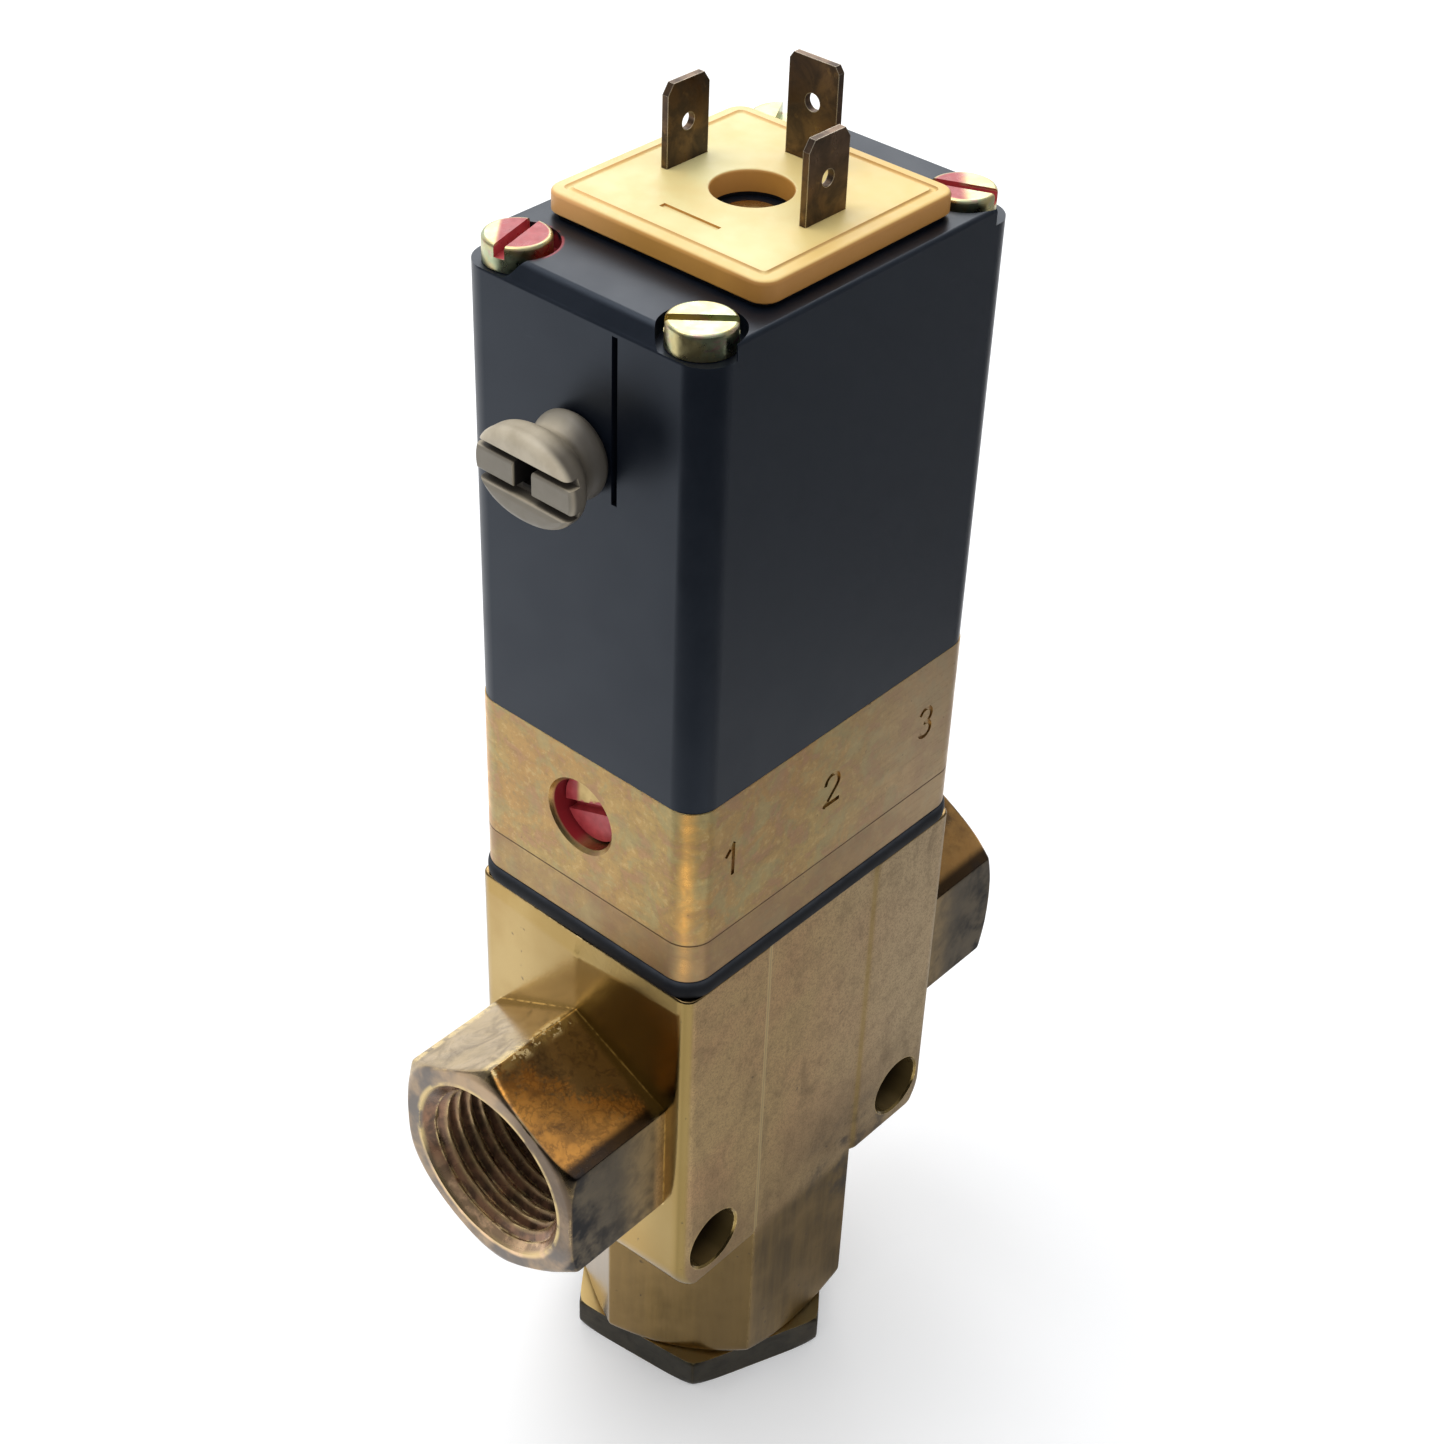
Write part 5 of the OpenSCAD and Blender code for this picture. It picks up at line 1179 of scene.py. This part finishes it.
dull = f.over(dull, UMBER, f.band(f.noise(5.0, 3, 0.7), 0.46, 0.62, 0.0, 0.38))
stain = f.noise(0.20, 5, 0.65, 0.6, place=f.mapped((1, 1, 0.45)))
dull = f.over(dull, UMBER, f.band(stain, 0.52, 0.70, 0.0, 0.40))
colour = f.mix(milled, gold, dull)
# Painted highlight on the slope at the left edge of the sunk strip in front, which faces a little towards
# +X.
strip_edge_highlight = f.times(f.band(nx, 0.12, 0.30), f.band(ny, -0.5, -0.8), f.band(along_x, 11.5, 10.5), 0.75)
colour = f.over(colour, BRIGHT, strip_edge_highlight)
# Painted shade: rounded edges and fillets, which slant to all three axes, are dimmed. The -X end is
# dimmed towards the front, and its upper part from the middle to the front carries a painted dark
# reflection of the port.
steepest = f.most(f.size(nx), f.size(ny), f.size(nz))
colour = f.over(colour, SHADED_GOLD, f.band(steepest, 0.99, 0.86, 0.0, 0.8))
colour = f.over(colour, SHADED_GOLD, f.band(y, -8.0, -14.0, 0.0, 0.6), f.band(nx, -0.7, -0.9))
colour = f.over(colour, SHADED_GOLD, f.band(y, 12.0, 3.0, 0.0, 0.30), f.band(z, z_top - 17.0, z_top - 11.0),
                f.band(nx, -0.7, -0.9))
colour = f.over(colour, UMBER, f.band(z, z_top - 0.30, z_top - 0.05, 0.0, 0.8))
print("block of the forging:", len(f.tree.nodes), "nodes")

# %% Forged brass, neck and holes
SMEAR_X, SMEAR_Z = 9.5, 30.0
streak = f.noise(0.55, 5, 0.6, place=f.mapped((1, 1, 0.10)))
below = f.band(z, EAR_FOOT + 1.5, EAR_FOOT - 1.5)
neck_skin = f.mix(f.band(streak, 0.25, 0.75), OLIVE, DARK_OLIVE)
neck_skin = f.over(neck_skin, NECK_GOLD, f.band(f.noise(0.13, 4, 0.55), 0.40, 0.70, 0.0, 0.45))
# Painted light on the flats that face -X: lighter gold towards the middle, where they catch the light,
# and darker towards the front.
slant = f.band(nx, -0.2, -0.4)
neck_skin = f.over(neck_skin, DARK_OLIVE, slant, f.band(y, -5.0, -13.0, 0.0, 0.55))
neck_skin = f.over(neck_skin, NECK_GOLD, slant, f.band(y, -6.0, 0.0, 0.0, 0.6))
colour = f.over(colour, neck_skin, below)
# Painted shade inside the cross holes, darker further in.
in_hole = f.times(f.band(away(f, along_x, z, hole_x, hole_z), hole_r + 0.5, hole_r + 0.1),
                  f.band(f.size(ny), 0.7, 0.3))
colour = f.over(colour, SHADE_BROWN, in_hole,
                f.band(f.size(y), half_wid - 0.6, half_wid - 4.0, 0.45, 0.97))
smear = f.times(f.band(away(f, x, z, SMEAR_X, SMEAR_Z), 13.0, 3.0), f.band(f.noise(0.30, 5), 0.42, 0.66),
                f.band(ny, -0.4, -0.8), 0.7)
colour = f.over(colour, BLUE_BLACK, smear)
print("neck and holes added:", len(f.tree.nodes), "nodes")

# %% Forged brass, ports
on_port = f.band(along_x, ridge_x + 0.2, ridge_x + 1.2)
skin = f.mix(f.band(mottle, 0.38, 0.64), BRONZE, GREY_BROWN)
upper_front = f.times(f.band(ny, -0.15, -0.35), f.band(nz, 0.5, 0.8), f.band(x, 5.0, -5.0, 0.35, 1.0))
spots = f.plus(f.times(mottle, 0.9), f.times(grain, 0.7))
skin = f.over(skin, WARM, upper_front, 0.7)
reach = f.plus(f.times(along_x, 0.066), f.times(y, -0.06))
rubbed = f.times(upper_front, f.band(f.plus(spots, reach), 3.10, 3.38), 0.97)
skin = f.over(skin, COPPER, rubbed)
wrinkle = f.size(f.minus(f.noise(0.30, 6, 0.70, 0.3), 0.5))
patch = f.most(f.band(wrinkle, 0.035, 0.005, 0.0, 0.40),
               f.band(f.noise(0.24, 5, 0.6), 0.54, 0.66, 0.0, 0.45))
skin = f.over(skin, BROWN, upper_front, patch)
# Painted dark reflection along the rounded lower edge of the port's upper front facet.
lower_edge_shade = f.times(f.band(nz, 0.10, 0.40), f.band(y, -11.5, -12.6), 0.95)
skin = f.over(skin, SHADE_BROWN, lower_edge_shade)
skin = f.over(skin, SMOKE, f.band(ny, -0.80, -0.95), f.band(along_x, 26.5, 32.0, 0.05, 0.80))
smudge = f.band(f.noise(0.30, 5, 0.65, 0.8), 0.44, 0.66, 0.06, 0.55)
upper_back = f.mix(smudge, f.mix(f.band(mottle, 0.40, 0.66), PALE_GOLD, GREY_PATINA), UMBER)
skin = f.over(skin, upper_back, f.band(ny, -0.2, 0.2))
colour = f.over(colour, skin, on_port)
out_low = f.plus(f.band(along_x, 29.0, 38.5), f.band(z, port_z + 5, port_z - 9, 0.0, 0.6))
grime = f.times(out_low, f.band(f.noise(0.22, 4, 0.6), 0.40, 0.66), on_port,
                f.band(ny, 0.0, 0.4, 0.85, 0.35))
colour = f.over(colour, BLUE_BLACK, f.joined("MINIMUM", grime, 0.92))
end_face = f.band(along_x, port_x - 0.5, port_x - 0.15)
ring = f.mix(f.band(f.noise(0.17, 4), 0.34, 0.62), f.mix(f.times(mottle, 0.4), BEIGE, RED_BROWN),
             BLUE_GREY)
sooty = f.times(f.band(y, -1.0, -7.0), f.band(z, port_z - 6.5, port_z - 2.0),
                f.band(f.noise(0.25, 4, 0.6), 0.30, 0.62, 0.55, 0.95))
ring = f.over(ring, SOOT, sooty)
colour = f.over(colour, ring, end_face)
from_axis = away(f, y, z, 0.0, port_z)
mouth = f.times(end_face, f.band(from_axis, thread_r + 1.5, thread_r + 1.1), f.band(mottle, 0.35, 0.55),
                0.7)
colour = f.over(colour, BRIGHT, mouth)
print("ports added:", len(f.tree.nodes), "nodes")

# %% Forged brass, threads and edges
CORNER_R = 15.0
in_thread = f.times(f.band(from_axis, thread_r + 0.9, thread_r + 0.3), f.band(along_x, 17.0, 19.0))
crest = f.band(from_axis, thread_r - 0.6, thread_r - 1.0, 0.0, 0.45)
rust = f.mix(crest, f.mix(f.band(mottle, 0.35, 0.65), RED_BROWN, BROWN), PATINA)
colour = f.over(colour, rust, in_thread)
glint = f.times(f.band(along_x, port_x - 1.3, port_x - 0.8),
                f.band(from_axis, thread_r + 1.7, thread_r + 1.2), f.band(z, port_z - 4.0, port_z - 9.0),
                f.band(mottle, 0.38, 0.58, 0.85, 0.30))
colour = f.over(colour, ROSE_GOLD, glint)
speck = f.band(f.noise(0.9, 2, 0.5), 0.72, 0.78, 0.0, 0.5)
colour = f.over(colour, BLUE_BLACK, speck)
chipped = f.times(f.band(from_axis, CORNER_R - 0.25, CORNER_R + 0.25), on_port,
                  f.band(along_x, port_x - 0.6, port_x - 1.4), f.band(y, -9.0, -6.0))
worn = f.times(f.most(f.worn_edge(0.45), chipped), f.band(f.noise(0.8, 5, 0.7), 0.40, 0.54),
               f.band(lower_edge_shade, 0.6, 0.1, 0.0, 0.9))
colour = f.over(colour, BRIGHT, worn)
nick = f.times(chipped, f.band(y, -6.0, -3.0), f.band(nz, 0.3, 0.6),
               f.band(f.noise(0.6, 4, 0.7), 0.52, 0.58))
colour = f.over(colour, NICK, nick)
rough = f.band(f.plus(milled, f.times(grain, 0.4)), 0.05, 1.3, 0.20, 0.46)
rough = f.plus(rough, f.times(f.most(grime, end_face), 0.15))
height = f.plus(grain, mottle, f.times(scratch, milled, 0.6))
glow = f.times(rubbed, f.band(reach, 2.55, 3.25, 0.15, 1.25))
soft_metal = f.most(in_thread, in_hole, nick, glow)
finishes["forged_brass"] = f.done(
    base_color=colour, roughness=rough, metallic=f.band(soft_metal, 0.0, 1.25, 1.0, 0.5),
    normal=f.bump(height, 0.30, 0.025))
print("forged brass:", len(f.tree.nodes), "nodes")

# %% Milled and darkened brass


def milled_brass(name, tones, edge_share, roughness, stack=False, upper=None):
    """Flat milled brass: three tones in two noises, fine lines along the faces, and a fourth tone on
    round upright corners, a painted highlight with a little less roughness. In the stack, dirt has
    gathered in the seams and lacquer has run into the counterbore. An upper tone is a painted reflection
    on the faces that point up, stronger towards -X."""
    f = Finish(name)
    x, y, z = f.axes(f.place)
    nx, ny, nz = f.facing()
    cloud, mottle, grain = f.noise(0.09, 4), f.noise(0.34, 6, 0.62, 0.5), f.noise(2.6, 4, 0.6)
    lines = f.noise(1.4, 3, place=f.mapped((0.12, 0.12, 2.2)))
    colour = f.mix(f.band(cloud, *CLOUDS), tones[0], tones[1])
    colour = f.over(colour, tones[2], f.band(mottle, 0.42, 0.72, 0.0, 0.50))
    if stack:
        fleck = f.noise(1.2, 5, 0.7)
        colour = f.over(colour, tones[2], f.band(fleck, 0.53, 0.64, 0.0, 0.45))
        colour = f.over(colour, LIGHT_FLECK, f.band(fleck, 0.46, 0.38, 0.0, 0.35))
        colour = f.over(colour, VERDIGRIS, f.band(f.noise(0.26, 5, 0.65, 0.6), 0.46, 0.62, 0.0, 0.50))
        colour = f.over(colour, PINK, f.band(f.noise(0.34, 5, 0.65, 0.6), 0.50, 0.64, 0.0, 0.55))
        colour = f.over(colour, ASHEN, f.band(x, -6.0, 20.0, 0.0, 0.65), f.band(ny, -0.5, -0.8))
    colour = f.over(colour, tones[2], f.band(f.plus(lines, grain), 1.0, 1.4, 0.0, 0.45))
    # Painted highlight: the fourth tone goes on round upright corners.
    steepest = f.most(f.size(nx), f.size(ny))
    turn = f.times(f.band(steepest, 0.998, 0.80), f.band(f.size(nz), 0.5, 0.2))
    turn = f.times(turn, f.band(f.size(ny), 0.88, 0.50))
    colour = f.over(colour, tones[3], turn, f.band(mottle, 0.34, 0.60, 0.95, 0.45))
    colour = f.over(colour, BLUE_BLACK, f.band(f.noise(0.9, 2, 0.5), 0.72, 0.78, 0.0, 0.5))
    worn = f.times(f.worn_edge(0.25), f.band(f.noise(0.6, 4), 0.36, 0.60), edge_share)
    colour = f.over(colour, BRIGHT, worn)
    rough = f.band(f.plus(mottle, f.times(lines, 0.3)), 0.4, 0.9, *roughness)
    rough = f.minus(rough, f.times(turn, 0.08))
    height = f.plus(f.times(lines, 0.6), mottle)
    metal = f.band(mottle, 0.0, 1.0, 1.0, 0.97)
    # Painted reflection: the upper tone on faces that point up, stronger towards -X.
    if upper:
        colour = f.over(colour, upper, f.band(nz, 0.5, 0.8), f.band(x, 4.0, -6.0, 0.35, 0.95))
    if stack:
        off_seam = f.size(f.minus(z, pilot_low[2]))
        colour = f.over(colour, BROWN, f.band(off_seam, 0.17, 0.08, 0.0, 0.75))
        lower = f.times(f.band(z, pilot_low[2] + 0.6, pilot_low[2] - 0.6),
                        f.band(cloud, 0.30, 0.60, 0.30, 0.70), f.band(x, 14.0, 2.0, 0.2, 1.0))
        colour = f.over(colour, MAUVE, lower)
        spill = f.times(f.band(away(f, y, z, 0.0, nozzle_z), head_bore + 0.4, head_bore + 0.15),
                        f.band(x, -half_len + 0.2, -half_len + 0.6), f.band(y, -1.0, 1.5),
                        f.band(x, -half_len + 6.0, -half_len + 5.0))
        colour = f.over(colour, DEEP_LACQUER, spill)
        metal = f.minus(metal, f.times(spill, 0.9))
    return f.done(base_color=colour, metallic=metal, roughness=rough, normal=f.bump(height, 0.25, 0.02))


finishes["milled_brass"] = milled_brass(
    "milled_brass_finish", (TAN, ROSY, DUN, CORNER_HIGHLIGHT_GOLD), 0.35, (0.30, 0.44), stack=True)
finishes["dark_brass"] = milled_brass("dark_brass_finish", FITTING_TONES, 0.30, (0.30, 0.48),
                                      upper=BRIGHT)
finishes["inner_brass"] = milled_brass(
    "inner_brass_finish", (GOLD, CLEAN_BRASS, DEEP_GOLD, PALE_GOLD), 0.4, (0.2, 0.4))
print("brass finishes:", sorted(finishes))

# %% [markdown]
# ## Lacquer, zinc and tarnish
# Two of the tie screws and the seat screw carry a drop of red sealing lacquer, which shows if a screw
# has been turned since the valve was tested. The zinc on the other screws is passivated: a film so thin
# that it tints the metal yellow, green and rose.

# %% Lacquered screws
PICTURE_RIGHT, SLOT_ACROSS, MIDDLE = (0.65, -0.76), (0.342, 0.940), (0.3, 0.7)
ZINC_YELLOW, ZINC_GREEN, ZINC_ROSE = (0.64, 0.55, 0.27), (0.50, 0.56, 0.36), (0.60, 0.42, 0.34)


def lacquered(f, film, metal, rough):
    """Adds a red film over a metal: inside the film the surface is no longer metallic."""
    red = f.mix(f.noise(0.9, 3), LACQUER, DEEP_LACQUER)
    return f.done(base_color=f.mix(film, metal, red), metallic=f.minus(1.0, film), roughness=rough)


def dab(f, centre, start, full):
    """Lacquer on one screw head: inside the rim, along the picture's right hand from start to full,
    and all through the slot."""
    x, y, z = f.axes(f.place)
    across = f.plus(f.times(f.minus(x, centre[0]), PICTURE_RIGHT[0]),
                    f.times(f.minus(y, centre[1]), PICTURE_RIGHT[1]))
    round_axis = away(f, x, y, *centre)
    face = f.times(f.band(across, start, full), f.band(round_axis, HEAD_R - 0.25, HEAD_R - 0.55))
    in_slot = f.times(f.band(z, head_top - 0.15, head_top - 0.35),
                      f.band(round_axis, HEAD_R, HEAD_R - 0.1))
    slot_foot = head_top - SAW_DEEP
    return f.times(f.most(face, in_slot), f.band(z, slot_foot - 0.3, slot_foot - 0.1))


f = Finish("yellow_zinc_finish")
tint = f.mix(f.band(f.noise(0.35, 3), 0.38, 0.60), ZINC_YELLOW, ZINC_GREEN)
tint = f.over(tint, ZINC_ROSE, f.band(f.noise(0.6, 3, place=f.mapped((1, 1, 2))), 0.52, 0.72))
film = f.most(dab(f, (-tie_x, tie_y), -2.1, -1.5), dab(f, (tie_x, -tie_y), 0.8, -0.6))
finishes["yellow_zinc"] = lacquered(f, film, tint, f.band(f.noise(1.2, 4), *MIDDLE, 0.26, 0.40))

f = Finish("lacquered_brass_finish")
x, y, z = f.axes(f.place)
over_slot = f.plus(f.times(y, SLOT_ACROSS[0]), f.times(f.minus(z, nozzle_z), SLOT_ACROSS[1]))
ragged = f.plus(over_slot, f.band(f.noise(0.6, 3), *MIDDLE, -0.5, 0.5))
film = f.most(f.band(ragged, 0.9, 0.5), f.band(y, 1.8, 2.6))
film = f.times(film, f.band(x, seat_screw_low[0] + 3.2, seat_screw_low[0] + 2.4))
finishes["lacquered_brass"] = lacquered(f, film, f.mix(f.noise(0.8, 4), GOLD, SCREW_GOLD),
                                        f.band(f.noise(1.2, 4), *MIDDLE, 0.30, 0.42))
print("zinc and lacquer:", sorted(finishes))

# %% Blades
TARNISH, DARK_TARNISH = (0.15, 0.095, 0.058), (0.065, 0.047, 0.037)
TARNISH_GOLD, BLADE_EDGE = (0.36, 0.22, 0.09), (0.66, 0.58, 0.46)
f = Finish("tarnished_blades_finish")
film = f.noise(0.30, 5, 0.6, 0.5)
tarnish = f.mix(f.band(film, 0.34, 0.66), TARNISH, DARK_TARNISH)
tarnish = f.over(tarnish, TARNISH_GOLD, f.band(f.noise(0.7, 4), 0.60, 0.80, 0.0, 0.5))
tarnish = f.over(tarnish, BLADE_EDGE, f.worn_edge(0.15), 0.75)
finishes["tarnished_blades"] = f.done(
    base_color=tarnish, metallic=1.0, roughness=f.band(film, *MIDDLE, 0.26, 0.48),
    normal=f.bump(f.noise(1.5, 4), 0.2, 0.02))
print("blades:", len(f.tree.nodes), "nodes")

# %% [markdown]
# ## Plastics and rubber
# The case is a glass-filled black thermoplastic with a satin skin; under white light it looks blue-grey
# on the broad faces. The amber plate's upper faces are painted paler than its sides, as painted light
# from above, and deeper orange near the rim; its sides carry painted light, lighter towards the back and
# darker towards the front, and its groove painted shade. The knob is darker grey on the lower part of
# its face and towards its foot; its hollows, key hole and the side facing -Y carry painted shade, and
# its slots grease and painted shade. The upper half of the seal's edge is painted lighter: a painted
# highlight from above.

# %% Coil case plastic
CASE_BLACK, CASE_GREY, SCUFF = (0.0034, 0.0054, 0.0105), (0.0054, 0.0076, 0.0135), (0.035, 0.040, 0.050)
BLUE_SHEEN = (0.68, 0.81, 1.0)
f = Finish("housing_plastic_finish")
x, y, z = f.axes(f.place)
skin, grain = f.noise(0.16, 5), f.noise(4.5, 3, 0.6)
colour = f.mix(f.band(skin, 0.32, 0.70), CASE_BLACK, CASE_GREY)
scuff = f.band(f.noise(0.5, 4, 0.6, place=f.mapped((0.5, 0.5, 3.0))), 0.66, 0.80)
colour = f.over(colour, SCUFF, scuff, 0.2)
around = away(f, x, y, -tie_x, tie_y)
spill = f.times(f.band(around, POCKET_R + 0.35, POCKET_R + 0.1), f.band(z, z_band - 0.3, z_band + 0.1),
                f.band(f.noise(0.30, 3), 0.40, 0.52), f.band(f.minus(x, y), -30.0, -27.0))
colour = f.over(colour, DEEP_LACQUER, spill)
finishes["housing_plastic"] = f.done(
    base_color=colour, roughness=f.band(skin, *MIDDLE, 0.33, 0.40), specular_ior_level=0.45,
    specular_tint=BLUE_SHEEN, normal=f.bump(grain, 0.12, 0.02))
print("coil case plastic:", len(f.tree.nodes), "nodes")

# %% Knob plastic
KHAKI, DARK_KHAKI, KNOB_DARK_GREY = (0.56, 0.49, 0.37), (0.45, 0.385, 0.28), (0.180, 0.162, 0.130)
KNOB_HOLLOW_SHADE, GREASE_AND_SHADE, KEY_HOLE_SHADE = (0.035, 0.030, 0.026), (0.060, 0.052, 0.043), (0.016, 0.014, 0.013)
f = Finish("knob_plastic_finish")
x, y, z = f.axes(f.place)
colour = f.mix(f.band(f.noise(0.35, 5), 0.34, 0.68), KHAKI, DARK_KHAKI)
# Painted shade in the knob's hollows.
deep = f.hollow(2.0, 0.80)
colour = f.over(colour, KNOB_HOLLOW_SHADE, deep, 0.9)
nx, ny, nz = f.facing()
above = f.minus(z, knob_z)
off_y, off_z = f.size(y), f.size(above)
before_back = f.band(x, face_x + 6.0, face_x + 5.5)
in_slot = f.times(f.band(off_z, LIP_HALF + 0.3, LIP_HALF), f.band(x, face_x + 0.45, face_x + 1.0),
                  f.band(off_y, 6.2, 5.6), before_back)
# Painted shade on the walls of the key hole.
in_key = f.times(f.band(off_y, KEY_HALF + 0.06, KEY_HALF + 0.02),
                 f.band(off_z, LIP_HALF, KEY_HALF + 0.12), f.band(x, face_x + 0.4, face_x + 0.8),
                 before_back)
# Painted shade on the side that faces -Y, behind the face.
side_shade = f.times(f.band(ny, 0.0, -0.55), f.band(x, face_x + 0.4, face_x + 1.2), 0.88)
# Darker grey on the lower part of the face and towards the foot.
lower_face = f.times(f.band(nx, -0.25, -0.70), f.band(above, LIP_HALF, RIB_HALF), 0.88)
colour = f.over(colour, KNOB_DARK_GREY, f.most(lower_face, f.band(x, foot_x - 3.2, foot_x - 1.2, 0.0, 0.85)))
# The slots take grease and painted shade.
colour = f.over(colour, GREASE_AND_SHADE, f.most(f.times(in_slot, 0.8), side_shade))
colour = f.over(colour, KEY_HOLE_SHADE, in_key)
finishes["knob_plastic"] = f.done(
    base_color=colour, roughness=f.band(f.noise(0.8, 4), *MIDDLE, 0.42, 0.56),
    normal=f.bump(f.noise(3.0, 3), 0.10, 0.02))
print("knob plastic:", len(f.tree.nodes), "nodes")

# %% Amber plastic
AMBER, DEEP_AMBER, LIT_AMBER = (0.62, 0.31, 0.065), (0.52, 0.25, 0.05), (0.92, 0.50, 0.19)
SHADED_AMBER, RIM_AMBER, GROOVE_SHADE_AMBER = (0.27, 0.11, 0.022), (0.86, 0.57, 0.19), (0.42, 0.19, 0.04)
LIT_TOP_PALE, LIT_TOP_WARM, LIT_TOP_ORANGE = (0.89, 0.79, 0.395), (0.87, 0.70, 0.305), (0.86, 0.63, 0.225)
f = Finish("amber_plastic_finish")
x, y, z = f.axes(f.place)
upward = f.facing()[2]
side = f.mix(f.noise(0.25, 5), AMBER, DEEP_AMBER)
side = f.over(side, LIT_AMBER, f.band(y, 0.0, 12.0, 0.0, 0.8))
side = f.over(side, SHADED_AMBER, f.band(y, -8.0, -13.0, 0.0, 0.5))
# Painted light: the upper faces are paler than the sides, washed out by light from above, and stay more
# orange towards +X and -Y and near the rim, most at the front.
lit_top = f.mix(f.band(f.noise(0.14, 5), 0.35, 0.65), LIT_TOP_PALE, LIT_TOP_WARM)
lit_top = f.over(lit_top, LIT_TOP_ORANGE, f.band(f.minus(x, y), -6.0, 24.0, 0.0, 0.85))
off_mid = f.most(f.size(f.minus(x, plate_x)), f.size(y))
rim = f.times(f.band(off_mid, plate_half - 3.0, plate_half - 1.0), f.band(y, 14.0, -4.0, 0.1, 0.75))
lit_top = f.over(lit_top, RIM_AMBER, rim)
colour = f.mix(f.band(upward, 0.55, 0.95), side, lit_top)
# Painted shade in the groove and other hollows.
colour = f.over(colour, GROOVE_SHADE_AMBER, f.hollow(0.8, 0.72), 0.40)
finishes["amber_plastic"] = f.done(
    base_color=colour, roughness=f.band(f.noise(0.5, 4), *MIDDLE, 0.40, 0.52))
print("amber plastic:", len(f.tree.nodes), "nodes")

# %% Rubber and inner pieces
BLACK_RUBBER, GREY_RUBBER = (0.005, 0.006, 0.009), (0.008, 0.009, 0.012)
RUBBER_HIGHLIGHT = (0.050, 0.056, 0.068)
PLAIN_FINISHES = {
    "seal_rubber": ((0.014, 0.014, 0.016), (0.024, 0.024, 0.026), (0.5, 0.65), 0.0, 0.3),
    "bobbin_plastic": ((0.66, 0.61, 0.50), (0.58, 0.53, 0.43), (0.4, 0.5), 0.0, 0.3),
    "copper_wire": ((0.62, 0.24, 0.10), (0.45, 0.16, 0.07), (0.3, 0.42), 1.0, 1.5),
    "inner_steel": ((0.62, 0.63, 0.64), (0.50, 0.51, 0.52), (0.25, 0.38), 1.0, 0.3),
}


def plain_finish(name, one, two, rough, metallic, scale):
    """A simple finish: two tones in one noise, and a roughness that follows the same noise."""
    f = Finish(name)
    film = f.noise(scale, 5)
    return f.done(base_color=f.mix(f.band(film, *MIDDLE), one, two), metallic=metallic,
                  roughness=f.band(film, *MIDDLE, *rough), normal=f.bump(f.noise(3.0, 3), 0.08, 0.02))


f = Finish("gasket_rubber_finish")
upward = f.facing()[2]
film = f.noise(0.3, 5)
black = f.mix(f.band(film, *MIDDLE), BLACK_RUBBER, GREY_RUBBER)
# Painted highlight: the upper half of the seal's edge is lighter, as light from above falls on it.
lit_upper = f.times(f.band(upward, 0.05, 0.60), f.band(film, *MIDDLE, 0.5, 0.9))
finishes["gasket_rubber"] = f.done(
    base_color=f.mix(lit_upper, black, RUBBER_HIGHLIGHT), roughness=f.band(film, *MIDDLE, 0.48, 0.60),
    specular_ior_level=0.12, normal=f.bump(f.noise(3.0, 3), 0.08, 0.02))
for name, looks in PLAIN_FINISHES.items():
    finishes[name] = plain_finish(name + "_finish", *looks)
print("finishes in all:", len(finishes))

# %% [markdown]
# ## Dressing the pieces
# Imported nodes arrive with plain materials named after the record's slots. Each one is exchanged for
# the finish of its slot, and each new piece takes the finish of the node it stands for.

# %% Give every piece its finish
for node in frame["nodes"].values():
    for place in node.material_slots:
        place.material = finishes[place.material.name.split(".")[0]]
new_pieces = {forging: "forged_brass", fitting: "dark_brass", seal: "gasket_rubber",
              cover: "milled_brass", pilot: "milled_brass", case: "housing_plastic",
              terminal: "amber_plastic", knob: "knob_plastic", screws: "yellow_zinc",
              **dict.fromkeys(springs, "inner_steel")}
for piece, name in new_pieces.items():
    piece.data.materials.clear()
    piece.data.materials.append(finishes[name])
print("dressed", len(frame["nodes"]), "nodes and", len(new_pieces), "new pieces")
